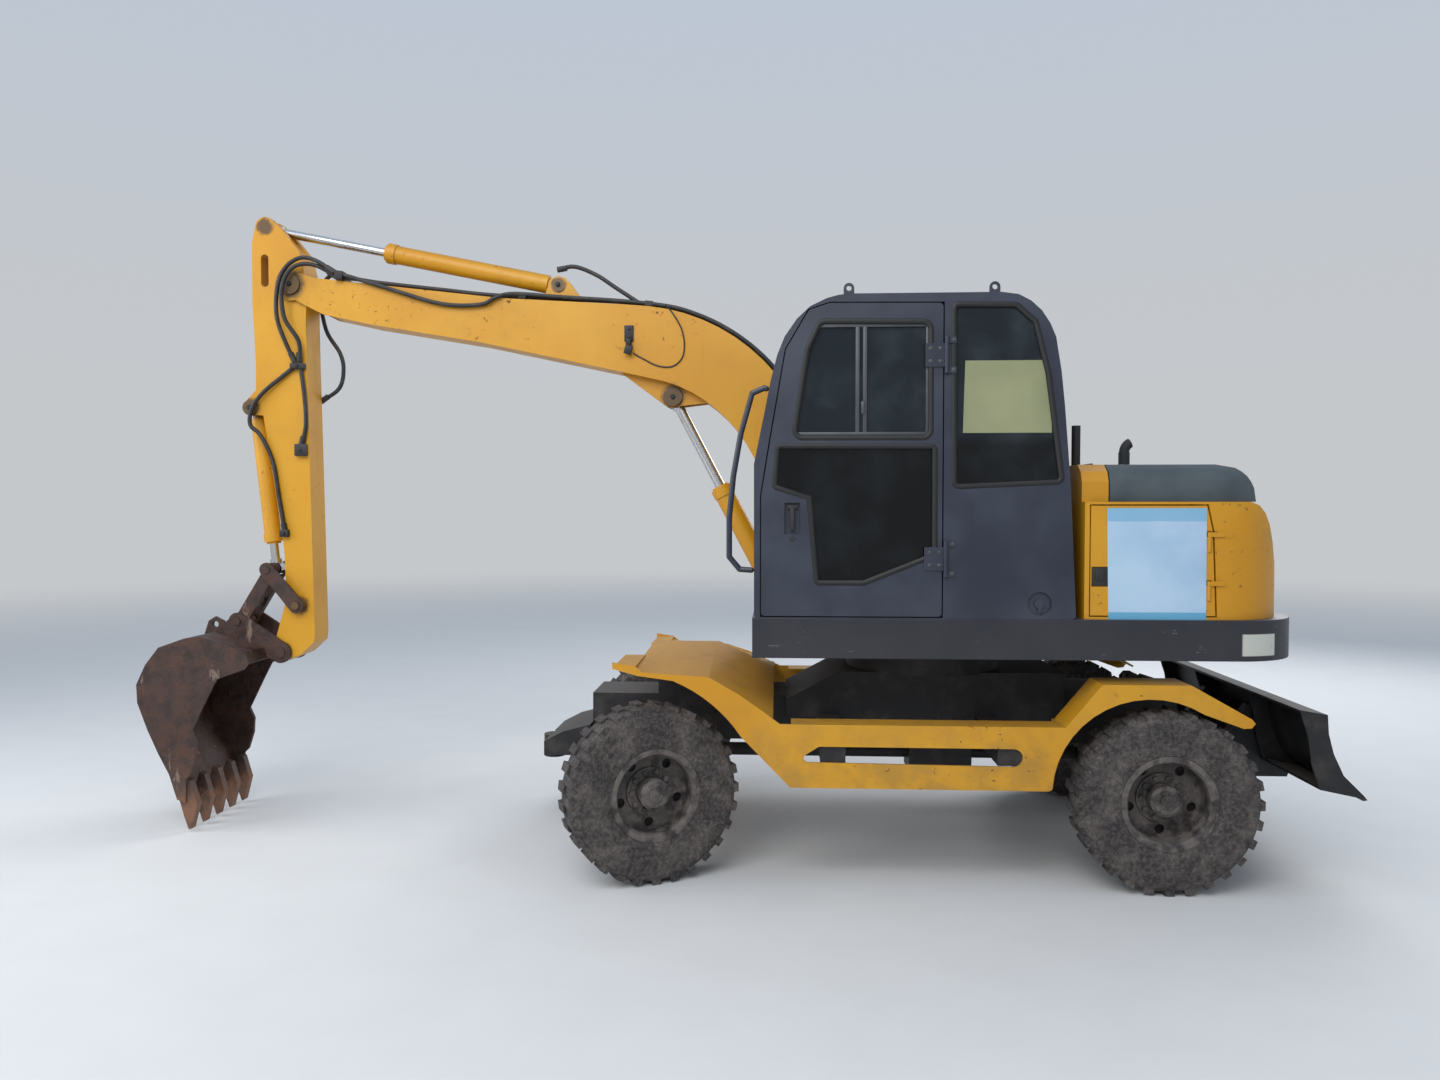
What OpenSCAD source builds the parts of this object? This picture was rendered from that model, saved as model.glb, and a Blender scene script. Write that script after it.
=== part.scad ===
// Compact wheeled excavator, about seven and a half tonnes.
// +X points forward along the boom, +Y to the machine's left (the cab's door side), +Z up.
// The origin is on the ground under the slewing axis. All sizes are in millimetres.

/* [Wheels] */
// Distance between the front and the rear axle
wheelbase = 2520; // [2300:10:2700]
// Distance from the slewing axis back to the rear axle
rear_axle_back = 1035; // [950:5:1120]
// Outside diameter of a tyre, to the tips of its lugs
tyre_d = 870; // [820:5:890]
// Width of a tyre
tyre_w = 230; // [200:5:240]
// Height of the tread lugs
lug_h = 14; // [8:1:18]
// Diameter of the bead seat of a rim
rim_d = 410; // [380:5:430]
// Distance between the middle planes of the left and right tyres
track = 1750; // [1700:10:1800]
// Distance from a kingpin out to the middle plane of its tyre
king_offset = 115; // [110:1:125]
// Angle at which the front wheels stand steered to the left
steer_rest = 26; // [20:1:28]

/* [Undercarriage] */
// Half of the width over the side frames
side_y = 960; // [940:5:980]
// Thickness of the side frame plates
plate_t = 14; // [10:1:18]
// Height of the side frames' lower edge
side_low = 485; // [460:5:520]
// Height of the side frames' upper edge between the fenders
side_top = 790; // [770:5:810]
// Height of the front fender's outer edge
fender_z = 1020; // [1005:5:1030]
// Height of the front fender at its crown
crown_z = 1068; // [1050:1:1075]
// Half of the width of the central frame box
frame_y = 330; // [300:5:360]
// Height of the central frame's top
frame_top = 950; // [930:5:965]

/* [Slewing deck] */
// Height of the deck's underside
deck_low = 1107; // [1095:1:1120]
// Height of the deck's floor
deck_top = 1300; // [1280:5:1320]
// Half of the width of the deck
deck_y = 950; // [930:5:965]
// Distance from the slewing axis to the deck's front edge
deck_front = 928; // [900:4:950]
// Radius of the tail's rounded corners
tail_r = 350; // [300:10:380]
// Place of the centre of those corners behind the slewing axis
tail_x = 1350; // [1300:10:1380]

/* [Cab] */
// Thickness of the cab's walls and of its door
cab_wall = 45; // [35:1:55]
// Distance of the cab's inner side wall from the machine's middle plane
cab_in = 105; // [100:1:130]
// Thickness of the window glass
glass_t = 5; // [4:1:8]
// Gap around the door
door_gap = 6; // [5:1:8]

/* [Engine covers] */
// Height of the engine covers' upper edge
cover_top = 1855; // [1820:5:1880]
// Height of the engine hood's top
hood_top = 2035; // [1990:5:2060]
// Thickness of the engine cover plates
cover_t = 20; // [12:1:26]

/* [Boom, arm and bucket] */
// Side offset of the boom, arm and bucket from the machine's middle plane
boom_y = -60; // [-66:1:-56]
// Width of the boom's box section
boom_w = 236; // [230:2:240]
// Width of the arm's box section
arm_w = 190; // [180:2:194]
// Thickness of the boom's fork ears
fork_t = 18; // [12:1:18]
// Width of the bucket
bucket_w = 680; // [600:10:760]
// Number of bucket teeth
teeth = 5; // [3:1:6]
// Thickness of the bucket's plates
bucket_t = 14; // [10:1:18]

/* [Cylinders] */
// Outer radius of the boom cylinder's barrel
boom_cyl_r = 57; // [50:1:60]
// Radius of the boom cylinder's rod
boom_rod_r = 29; // [25:1:32]
// Outer radius of the arm cylinder's barrel
arm_cyl_r = 52; // [46:1:56]
// Outer radius of the bucket cylinder's barrel
bucket_cyl_r = 46; // [40:1:50]
// Radius of the arm and bucket cylinders' rods
rod_r = 25; // [20:1:28]

/* [Blade] */
// Distance by which the dozer blade's ends stand inside the side frames
blade_inset = 10; // [0:5:80]
// Thickness of the dozer blade's curved board
board_t = 18; // [12:1:24]

/* [Hidden] */
$fn = 48;

yellow = [0.80, 0.60, 0.16];
slate = [0.24, 0.26, 0.32];
dark = [0.16, 0.16, 0.18];
grey = [0.30, 0.33, 0.35];
rust = [0.30, 0.20, 0.18];
steel = [0.78, 0.79, 0.80];
rubber = [0.13, 0.12, 0.12];

// clearances
pin_gap = 0.3;
run_gap = 5;
seat_gap = 0.3;

// axles
rear_x = -rear_axle_back;
front_x = wheelbase - rear_axle_back;
axle_z = tyre_d / 2;
king_y = track / 2 - king_offset;

// pins of the working gear as [x, z]
boom_foot = [430, 1480];
boom_tip = [3584, 3097];
boom_cyl_foot = [790, 1290];
boom_cyl_head = [1400, 2450];
arm_cyl_foot = [2054, 3088];
arm_cyl_head = [3738, 3430];
bucket_cyl_foot = [3838, 2400];
link_arm = [3566, 1263];
link_top = [3738, 1469];
link_low = [3923, 1169];
bucket_pin = [3669, 989];

// drawing helpers: a profile in X and Z pushed from y0 to y1, one in Y and Z pushed from x0 to x1
module across(y0, y1) {
    translate([0, y1, 0]) rotate([90, 0, 0]) linear_extrude(y1 - y0) children();
}
module along(x0, x1) {
    translate([x0, 0, 0]) rotate([90, 0, 90]) linear_extrude(x1 - x0) children();
}
module raised(z0, z1) {
    translate([0, 0, z0]) linear_extrude(z1 - z0) children();
}
module y_rod(p, r, y0, y1) {
    translate([p[0], y1, p[1]]) rotate([90, 0, 0]) cylinder(r = r, h = y1 - y0);
}
module mirrored(on) {
    if (on) mirror([0, 1, 0]) children();
    else children();
}
// the piece itself for s = 1, its mirror image about the plane y = c for s = -1
module mirror_y(c, s) {
    if (s > 0) children();
    else translate([0, 2 * c, 0]) mirror([0, 1, 0]) children();
}
module rounded(r) {
    offset(r = r) offset(delta = -r) children();
}
function arc(c, r, a0, a1, n = 8) =
    [for (i = [0:n]) c + r * [cos(a0 + (a1 - a0) * i / n), sin(a0 + (a1 - a0) * i / n)]];
function span(a, b) = norm(b - a);
function lean(a, b) = atan2(b[1] - a[1], b[0] - a[0]);
// a bar with round ends between two pins
module bar(a, b, ra, rb) {
    hull() {
        translate(a) circle(ra);
        translate(b) circle(rb);
    }
}

// A hydraulic cylinder lies along its pins. Its barrel is bored for the rod all the way.
module barrel(foot, head, y, r, rr, len, eye_w, eye_r, pin_r) {
    translate([foot[0], y, foot[1]]) rotate([0, -lean(foot, head), 0]) difference() {
        union() {
            rotate([90, 0, 0]) cylinder(r = eye_r, h = eye_w, center = true);
            rotate([0, 90, 0]) cylinder(r = r * 0.72, h = eye_r + 24);
            translate([eye_r + 14, 0, 0]) rotate([0, 90, 0]) cylinder(r = r, h = len - eye_r - 14 - 40);
            translate([len - 62, 0, 0]) rotate([0, 90, 0]) cylinder(r = r + 6, h = 50);
            translate([len - 12, 0, 0]) rotate([0, 90, 0]) cylinder(r = r - 6, h = 12);
        }
        rotate([90, 0, 0]) cylinder(r = pin_r + pin_gap, h = 2 * r + 2, center = true);
        translate([eye_r + 34, 0, 0]) rotate([0, 90, 0]) cylinder(r = rr + pin_gap, h = len);
    }
}
// The rod ends in an eye that sits between the ears of the next piece, free of their pin stubs.
module piston_rod(foot, head, y, rr, start, eye_w, eye_r) {
    reach = span(foot, head);
    translate([foot[0], y, foot[1]]) rotate([0, -lean(foot, head), 0]) {
        translate([start, 0, 0]) rotate([0, 90, 0]) cylinder(r = rr, h = reach - start);
        translate([reach - eye_r - 16, 0, 0]) rotate([0, 90, 0]) cylinder(r = rr + 9, h = 24);
        translate([reach, 0, 0]) rotate([90, 0, 0]) cylinder(r = eye_r, h = eye_w, center = true);
    }
}

// Undercarriage

tow_r = 22;
// radius of the rear axle's differential housing
diff_r = 185;
// plates of the central frame as [x0, x1, half width, z0, z1]
frame_boxes = [
    [rear_x + 330, 480, frame_y, 560, frame_top],
    [480, front_x - 345, 230, 560, 800],
    [front_x - 345, 1830, 190, 640, 800]
];
module chassis() color(dark) {
    difference() {
        union() {
            for (b = frame_boxes)
                translate([b[0], -b[2], b[3]]) cube([b[1] - b[0], 2 * b[2], b[4] - b[3]]);
            // front face of the box slopes down to the rails
            across(-frame_y, frame_y) polygon([[480, 700], [760, 700], [760, 800], [480, frame_top]]);
            // pedestal of the slewing ring
            raised(frame_top - 10, frame_top + 50) circle(r = 420);
            raised(frame_top + 50, deck_low - 20 - seat_gap) circle(r = 440);
            // rear axle saddle and tail of the frame
            translate([-1330, -230, 560]) cube([625, 460, 275]);
            for (s = [-1, 1]) translate([rear_x - 90, s * 170 - 60, axle_z + 60])
                cube([180, 120, 200]);
            // towers that carry the front fenders' crowns
            for (t = [[0, 0], [-190, fender_drop]]) translate([front_x - 270, t[0], 790])
                cube([250, 190, crown_z - 12 - seat_gap - 790 - t[1]]);
            // nose plate
            across(-280, 280) polygon([[1830, 470], [2087, 468], [2087, 545], [1980, 600], [1830, 640]]);
            translate([1640, -190, 560]) cube([190, 380, 240]);
            // boss of the towing eye
            translate([2085, 0, 405]) cylinder(r = 60, h = 125);
            // outriggers to the side frames
            for (x = [-360, 480]) translate([x, -side_y + plate_t + seat_gap, 600])
                cube([120, 2 * (side_y - plate_t - seat_gap), 120]);
            // lugs of the dozer blade's arms and of its cylinder
            for (s = [-1, 1]) across(s * 200 - 25, s * 200 + 25) polygon([[-1200, 620], [-1330, 620],
                [-1425, 500], [-1425, 440], [-1380, 420], [-1330, 440], [-1200, 570]]);
        }
        raised(frame_top - 200, deck_low) circle(r = 300);
        // seat of the rear axle and channel of the blade's cylinder
        translate([rear_x, 0, axle_z]) sphere(r = diff_r + seat_gap);
        y_rod([rear_x, axle_z], 70 + seat_gap, -400, 400);
        translate([-1340, -60, 640]) cube([240, 120, 300]);
        translate([2085, 0, 300]) cylinder(r = tow_r, h = 400);
        y_rod(blade_pin, 20 + pin_gap, -240, 240);
    }
    // ears and pin of the blade's cylinder in its channel
    for (s = [-1, 1]) across(s * 52 - 9, s * 52 + 9) polygon([[-1200, 636], [-1190, 885], [-1168, 910],
        [-1132, 910], [-1110, 885], [-1099, 636]]);
    y_rod(blade_cyl_foot, 18, -60, 60);
}

// Outline of a side frame, from the front tip round the top and back along both arches. The right
// frame's front fender stands lower by drop, as the left one is raised to form the driver's step.
fender_drop = 85;
front_arch = [front_x + 95, axle_z - 110, tyre_d / 2 + 287];
rear_arch = [rear_x + 85, axle_z + 35, tyre_d / 2 + 22];
slot_z = [598, 685];
module side_outline(drop) {
    polygon(concat(
        [[front_x + 118, 1080 - drop], [front_x + 10, 1064 - drop], [front_x - 28, fender_z + 14 - drop],
        [front_x - 346, fender_z - 6 - drop], [front_x - 490, 934 - drop * 0.6],
        [front_x - 600, 858 - drop * 0.3], [794, side_top], [-554, side_top], [rear_x + 312, 994],
        [rear_x - 97, 994], [rear_x - 374, 838], [rear_x - 391, 818], [rear_x - 375, 796],
        [rear_x - 338, 793]],
        arc([rear_arch[0], rear_arch[1]], rear_arch[2], 122, 3, 14),
        [[-478, side_low], [745, side_low]],
        arc([front_arch[0], front_arch[1] - drop], front_arch[2], 146, 112, 8),
        [[front_x - 5, 1017 - drop], [front_x + 117, 1050 - drop]]
    ));
}
module slot() {
    hull() {
        translate([-355 + 43, (slot_z[0] + slot_z[1]) / 2]) circle(43);
        translate([600, slot_z[1] - 26]) circle(26);
        translate([660, 628]) circle(20);
    }
}
// Fender plates as one strip: rows of [x, height at the outer edge, height at the inner edge]
front_rows = [[front_x + 15, 1048, crown_z], [front_x - 85, fender_z - 2, crown_z],
    [front_x - 346, fender_z - 10, crown_z], [front_x - 490, 926, 1006], [front_x - 600, 850, 951],
    [827, 808, 930]];
module strip(rows, drop, y_out, y_in, t) {
    n = len(rows);
    points = [for (r = rows) let (d = drop * min(1, (r[1] - 790) / 215)) each [
        [r[0], y_out, r[1] - d], [r[0], y_in, r[2] - d], [r[0], 1, r[2] - d],
        [r[0], 1, r[2] - t - d], [r[0], y_in, r[2] - t - d], [r[0], y_out, r[1] - t - d]]];
    sides = [for (i = [0:n - 2], k = [0:5]) let (a = i * 6 + k, b = i * 6 + (k + 1) % 6)
        each [[a, b, b + 6], [a, b + 6, a + 6]]];
    far = (n - 1) * 6;
    ends = [[0, 5, 4], [0, 4, 1], [1, 4, 3], [1, 3, 2],
        [far, far + 1, far + 4], [far, far + 4, far + 5], [far + 1, far + 2, far + 3],
        [far + 1, far + 3, far + 4]];
    polyhedron(points = points, faces = concat(sides, ends));
}
module side_frame(drop) {
    difference() {
        across(side_y - plate_t, side_y) side_outline(drop);
        across(side_y - 2 * plate_t, side_y + 1) slot();
    }
    strip(front_rows, drop, side_y - plate_t / 2, 200, 12);
    // flat tip of the front fender
    translate([front_x + 5, 560, 1052 - drop]) cube([104, side_y - plate_t / 2 - 560, 12]);
    // top, bottom and ramp flanges of the panel and the rear fender
    across(side_y - 150, side_y - plate_t) polygon([[740, side_top], [740, side_top - 12],
        [-554, side_top - 12], [-554, side_top]]);
    across(side_y - 100, side_y - plate_t) polygon([[735, side_low], [735, side_low + 12],
        [-440, side_low + 12], [-440, side_low]]);
    across(side_y - 220, side_y - plate_t) polygon([[-540, side_top], [-554, side_top],
        [rear_x + 312, 994], [rear_x - 97, 994], [rear_x - 374, 838], [rear_x - 369, 828],
        [rear_x - 95, 981], [rear_x + 307, 981], [-566, side_top - 12], [-540, side_top - 12]]);
}
module side_frame_left() color(yellow) side_frame(0);
module side_frame_right() color(yellow) mirror([0, 1, 0]) side_frame(fender_drop);

// Axles

yoke_h = 150;
module front_axle() color(dark) {
    difference() {
        union() {
            y_rod([front_x, axle_z], 62, -king_y + 60, king_y - 60);
            translate([front_x, 40, axle_z]) scale(1) sphere(r = 165);
            translate([front_x - 50, -150, axle_z + 100]) cube([100, 300, 640 - axle_z - 100 - seat_gap]);
            for (s = [-1, 1]) {
                for (z = [-1, 1]) translate([front_x, s * king_y, axle_z + z * (yoke_h - 16)])
                    cylinder(r = 52, h = 32, center = true);
                mirrored(s < 0) across(king_y - 110, king_y - 70) translate([front_x, axle_z])
                    square([96, 2 * yoke_h], center = true);
                for (z = [-1, 1]) translate([front_x - 48, s > 0 ? king_y - 110 : -king_y,
                    axle_z + z * (yoke_h - 16) - 16]) cube([96, 110, 32]);
            }
            // steering cylinder on its bracket behind the axle
            y_rod([front_x - 190, axle_z - 90], 34, -210, 210);
            for (s = [-1, 1]) translate([front_x - 200, s * 150 - 15, axle_z - 85]) cube([180, 30, 60]);
        }
        for (s = [-1, 1]) translate([front_x, s * king_y, axle_z]) cylinder(r = 24 + pin_gap, h = 400,
            center = true);
        y_rod([front_x - 190, axle_z - 90], 18 + pin_gap, -400, 400);
    }
}
// the rod stands off centre by as much as the wheels are steered at rest
steer_arm = 190;
module steering_rod() color(steel)
    y_rod([front_x - steer_arm, axle_z - 90], 18, -600 - steer_arm * sin(steer_rest),
        600 - steer_arm * sin(steer_rest));

// A knuckle turns on its kingpin between the yoke's arms and carries the wheel's spindle.
spindle_r = 42;
spindle_len = 150;
module knuckle() {
    translate([front_x, king_y, axle_z]) rotate([0, 0, steer_rest]) {
        cylinder(r = 24, h = 2 * yoke_h + 12, center = true);
        difference() {
            cylinder(r = 50, h = 2 * (yoke_h - 32) - 1, center = true);
            translate([-60, -100, -200]) cube([120, 45, 400]);
        }
        rotate([-90, 0, 0]) cylinder(r = spindle_r, h = spindle_len);
        rotate([-90, 0, 0]) translate([0, 0, 30]) cylinder(r = 78, h = 22);
        // steering arm
        translate([0, 0, -90]) linear_extrude(22) bar([-20, 0], [-145, -20], 24, 16);
    }
}
module knuckle_left() color(dark) knuckle();
module knuckle_right() color(dark) mirror([0, 1, 0]) translate([front_x, king_y, axle_z])
    rotate([0, 0, -2 * steer_rest]) translate([-front_x, -king_y, -axle_z]) knuckle();

module rear_axle() color(dark) {
    y_rod([rear_x, axle_z], 70, -track / 2 + 70, track / 2 - 70);
    translate([rear_x, 0, axle_z]) sphere(r = diff_r);
    for (s = [-1, 1]) mirrored(s < 0) {
        y_rod([rear_x, axle_z], 115, track / 2 - 170, track / 2 - 110);
        y_rod([rear_x, axle_z], spindle_r, track / 2 - 120, track / 2 + king_offset - 80);
    }
}
module drive_line() color(dark) {
    translate([-260, -130, 360]) cube([340, 260, 200 - seat_gap]);
    for (run = [[-850, -260], [80, front_x - 171]])
        along(run[0], run[1]) translate([0, 455]) circle(r = 36);
}

// A tyre in its own frame: the axle along Z, the outer side up.
module tyre_section() {
    r = tyre_d / 2 - lug_h;
    w = tyre_w / 2;
    polygon(concat([[rim_d / 2, -w + 22.5], [rim_d / 2 + 23, -w + 19.5], [rim_d / 2 + 24, -w + 11],
        [rim_d / 2 + 44, -w + 6], [r - 80, -w]],
        arc([r - 40, -w + 40], 40, -80, -20, 4), [[r + 0, -w + 60], [r, w - 60]],
        arc([r - 40, w - 40], 40, 20, 80, 4), [[r - 80, w], [rim_d / 2 + 44, w - 6], [rim_d / 2 + 24, w - 11],
        [rim_d / 2 + 23, w - 19.5], [rim_d / 2, w - 22.5]]));
}
module tyre() {
    rotate_extrude($fn = 64) tyre_section();
    for (i = [0:27], s = [0, 1]) rotate([0, 0, (i + s / 2) * 360 / 28]) mirror([0, 0, s])
        translate([tyre_d / 2 - lug_h - 16, -22, 6]) cube([lug_h + 14, 44, tyre_w / 2 - 14]);
}
// depth: how far the disc sits inside the outer rim edge; hub_end: how far the hub reaches out
module rim(depth, hub_end) {
    w = tyre_w / 2 - 12;
    disc = w - depth;
    difference() {
        union() {
            rotate_extrude($fn = 64) polygon([[rim_d / 2 - 14, -w], [rim_d / 2 + 22, -w],
                [rim_d / 2 + 22, -w + 7],
                [rim_d / 2 - seat_gap, -w + 10], [rim_d / 2 - seat_gap, w - 10], [rim_d / 2 + 22, w - 7],
                [rim_d / 2 + 22, w], [rim_d / 2 - 4, w], [rim_d / 2 - 14, w - 16]]);
            translate([0, 0, disc - 14]) cylinder(r = rim_d / 2 - 10, h = 14);
            // hub with its bolted flange and cap
            translate([0, 0, -58]) cylinder(r = 74, h = hub_end + 46);
            translate([0, 0, disc - 1]) cylinder(r = 118, h = 15);
            translate([0, 0, hub_end - 13]) cylinder(r1 = 73, r2 = 60, h = 13);
            translate([0, 0, hub_end - 1]) cylinder(r = 34, h = 9);
            for (a = [0:36:324]) rotate([0, 0, a]) translate([97, 0, disc + 13])
                cylinder(r = 14, h = 16, $fn = 6);
            for (a = [0:60:300]) rotate([0, 0, a]) translate([48, 0, hub_end - 1])
                cylinder(r = 7, h = 8, $fn = 6);
        }
        // hand holes and the bore on the spindle
        for (a = [18:72:306]) rotate([0, 0, a]) translate([156, 0, disc - 20]) cylinder(r = 24, h = 40);
        translate([0, 0, -120]) cylinder(r = spindle_r + pin_gap, h = 160);
    }
}
module front_wheel_at(left) {
    mirrored(!left) translate([front_x, king_y, axle_z]) rotate([0, 0, left ? steer_rest : -steer_rest])
        translate([0, king_offset, 0]) rotate([-90, 0, 0]) children();
}
module rear_wheel_at(left) {
    mirrored(!left) translate([rear_x, track / 2, axle_z]) rotate([-90, 0, 0]) children();
}
front_dish = [110, 94];
rear_dish = [140, 62];
module front_tyre_left() color(rubber) front_wheel_at(true) tyre();
module front_rim_left() color(rust) front_wheel_at(true) rim(front_dish[0], front_dish[1]);
module front_tyre_right() color(rubber) front_wheel_at(false) tyre();
module front_rim_right() color(rust) front_wheel_at(false) rim(front_dish[0], front_dish[1]);
module rear_tyre_left() color(rubber) rear_wheel_at(true) tyre();
module rear_rim_left() color(rust) rear_wheel_at(true) rim(rear_dish[0], rear_dish[1]);
module rear_tyre_right() color(rubber) rear_wheel_at(false) tyre();
module rear_rim_right() color(rust) rear_wheel_at(false) rim(rear_dish[0], rear_dish[1]);

// Dozer blade behind the rear axle, raised

blade_pin = [-1380, 470];
blade_w = 2 * (side_y - blade_inset);
blade_cyl_foot = [-1150, 880];
blade_cyl_head = [-1640, 720];
// pushing face and rear edge of the blade's end plates as [x, z], from the top down
blade_face = [[-1758, 861], [-1764, 772], [-1788, 678], [-1835, 576], [-1928, 483]];
blade_back = [[-1728, 508], [-1689, 630], [-1669, 762], [-1630, 883]];
module blade() color(dark) {
    // curved board with its cutting edge
    across(-blade_w / 2, blade_w / 2) polygon(concat(blade_face, [[-1945, 462], [-1925, 458]],
        [for (i = [4:-1:0]) blade_face[i] + [board_t + 2, 0]]));
    // end plates, top flange, foot plate and ribs
    for (y = [-blade_w / 2, -360, 348, blade_w / 2 - 12]) across(y, y + 12)
        polygon(concat(blade_face, [[-1915, 470]], blade_back));
    across(-blade_w / 2, blade_w / 2) polygon([[-1758, 861], [-1630, 883], [-1632, 870], [-1745, 850]]);
    across(-blade_w / 2, blade_w / 2) polygon([[-1728, 508], [-1915, 470], [-1912, 483], [-1731, 520]]);
    // push arms
    for (s = [-1, 1]) across(s * 280 - 30, s * 280 + 30)
        polygon([[blade_pin[0] + 45, 430], [blade_pin[0] + 45, 520], [-1560, 640], [-1660, 790], [-1755, 790],
            [-1780, 640], [-1890, 470], [-1870, 412], [-1560, 412]]);
    for (s = [-1, 1]) across(s * 55 - 12, s * 55 + 12)
        polygon([[-1600, 680], [-1600, 755], [-1680, 765], [-1760, 745], [-1780, 655], [-1660, 655]]);
    translate([-1700, -310, 600]) cube([60, 620, 66]);
    for (s = [-1, 1]) y_rod(blade_cyl_head, 20, s * 56 - 16, s * 56 + 16);
    for (s = [-1, 1]) y_rod(blade_pin, 20, s > 0 ? 176 : -308, s > 0 ? 308 : -176);
}
module blade_barrel() color(dark) barrel(blade_cyl_foot, blade_cyl_head, 0, 40, 20, 410, 54, 34, 18);
module blade_rod() color(steel) piston_rod(blade_cyl_foot, blade_cyl_head, 0, 20, 110, 70, 30);

// Slewing deck

module tail_plan_of(r, half, centre) {
    hull() {
        for (s = [-1, 1]) translate([-centre, s * (half - r)]) circle(r = r);
        translate([-600, -half]) square([10, 2 * half]);
    }
}
module deck_plan() {
    tail_plan_of(tail_r, deck_y, tail_x);
    translate([-600, -deck_y]) square([deck_front + 600, 2 * deck_y]);
}
module deck() color(slate) {
    difference() {
        union() {
            raised(deck_low, deck_top) deck_plan();
            raised(deck_low - 20, deck_low) circle(r = 380);
            // cheeks that hold the boom's foot and the boom cylinder's foot
            for (s = [-1, 1]) {
                y0 = boom_y + s * (boom_w / 2 + run_gap + 12);
                across(y0 - 12, y0 + 12) polygon([[280, deck_top], [360, 1560], [430, 1580], [520, 1560],
                    [720, 1400], [deck_front, 1330], [deck_front, deck_top]]);
            }
        }
        // well in front for the boom cylinder
        translate([640, boom_y - boom_w / 2 - run_gap, 1150]) cube([400, boom_w + 2 * run_gap, 200]);
        y_rod(boom_foot, 35 + pin_gap, boom_y - 250, boom_y + 250);
    }
    // pin stubs
    for (s = [-1, 1]) {
        y0 = boom_y + s * (boom_w / 2 + run_gap + 12);
        y_rod(boom_cyl_foot, 30, y0 - 20, y0 + 20);
    }
    y_rod(boom_cyl_foot, 30, boom_y - boom_w / 2 - run_gap, boom_y + boom_w / 2 + run_gap);
}
// seam between the counterweight and the engine covers, and the counterweight's rear face, as [x, z]
seam = [[-1255, deck_top], [-1236, 1723], [-1206, cover_top]];
weight_rear = [[-1412, cover_top], [-1462, 1838], [-1500, 1802], [-1532, 1750], [-1560, 1670], [-1596, 1540],
    [-1636, deck_top]];
module counterweight() color(yellow) {
    intersection() {
        raised(deck_top, cover_top) tail_plan_of(350, bay_y, 1286);
        across(-1000, 1000) polygon(concat(seam, weight_rear));
    }
    // hinge knuckles of the engine door
    for (z = engine_hinge_z) raised(z + engine_hinge_h + seat_gap, z + engine_hinge_h + 22) {
        translate(engine_hinge) circle(r = 9);
        polygon([[-1285, bay_y - 6], [-1257, bay_y - 6], [-1252, bay_y + 0.8], [-1215, bay_y + 0.8],
            [-1215, bay_y + 9], [-1285, bay_y + 9]]);
    }
}

// Cab

cab_floor = deck_top + cab_wall + seat_gap;
cab_profile = [[-598, deck_top], [-568, 1924], [-537, 2303], [-520, 2465], [-493, 2627], [-465, 2692],
    [-426, 2751], [-377, 2796], [-319, 2827], [-240, 2838], [467, 2838], [522, 2832], [575, 2818],
    [654, 2781], [717, 2722], [775, 2639], [811, 2549], [843, 2422], [867, 2296], [920, 2035],
    [919, deck_top]];
door_hinge = [14, deck_y + 12];
hinge_z = [1530, 2490];
hinge_h = 110;
door_profile = [[30, deck_top + 10], [30, 2789], [561, 2794], [660, 2762], [768, 2579], [843, 2144],
    [885, 1883], [885, deck_top + 10]];
upper_window = [[84, 2157], [86, 2705], [608, 2710], [669, 2579], [734, 2158]];
lower_window = [[62, 1603], [65, 2118], [810, 2121], [824, 1926], [658, 1873], [623, 1468], [396, 1469]];
rear_side_window = [[-25, 1925], [-19, 2785], [-310, 2780], [-400, 2700], [-461, 2462], [-530, 1948]];
panel_lock = [-428, 1374];
module cab() color(slate) {
    difference() {
        across(cab_in, deck_y) rounded(20) polygon(cab_profile);
        across(cab_in + cab_wall, deck_y - cab_wall) offset(delta = -cab_wall) polygon(cab_profile);
        across(deck_y - cab_wall - 1, deck_y + 1) offset(delta = door_gap) polygon(door_profile);
        across(deck_y - cab_wall - 1, deck_y + 1) rounded(25) polygon(rear_side_window);
        // right side window, windscreen and rear window
        across(cab_in - 1, cab_in + cab_wall + 1) rounded(40)
            polygon([[-450, 1950], [-400, 2640], [620, 2640], [740, 2300], [790, 1950]]);
        translate([500, cab_in + 60, 1620]) cube([600, deck_y - cab_in - 120, 1060]);
        translate([-700, cab_in + 90, 1960]) cube([300, deck_y - cab_in - 180, 640]);
        // recess of the lock in the panel behind the door
        y_rod(panel_lock, 56, deck_y - 14, deck_y + 1);
    }
    y_rod(panel_lock, 22, deck_y - 15, deck_y - 3);
    translate([panel_lock[0] - 7, deck_y - 15, panel_lock[1] - 40]) cube([14, 14, 50]);
    // hinge knuckles over and under those of the door
    for (z = hinge_z, k = [-30 - seat_gap, hinge_h + seat_gap])
        translate([door_hinge[0], door_hinge[1], z + k]) {
            cylinder(r = 11, h = 30);
            translate([-45, -16, 0]) cube([45, 12, 30]);
        }
    // lifting eyes on the roof
    for (x = [457, -256]) difference() {
        translate([x, 700, 2815]) rotate([90, 0, 0]) translate([0, 0, -6]) linear_extrude(12) {
            translate([0, 96]) circle(26);
            translate([-26, 0]) square([52, 96]);
        }
        y_rod([x, 2911], 13, 600, 800);
    }
}
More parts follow.
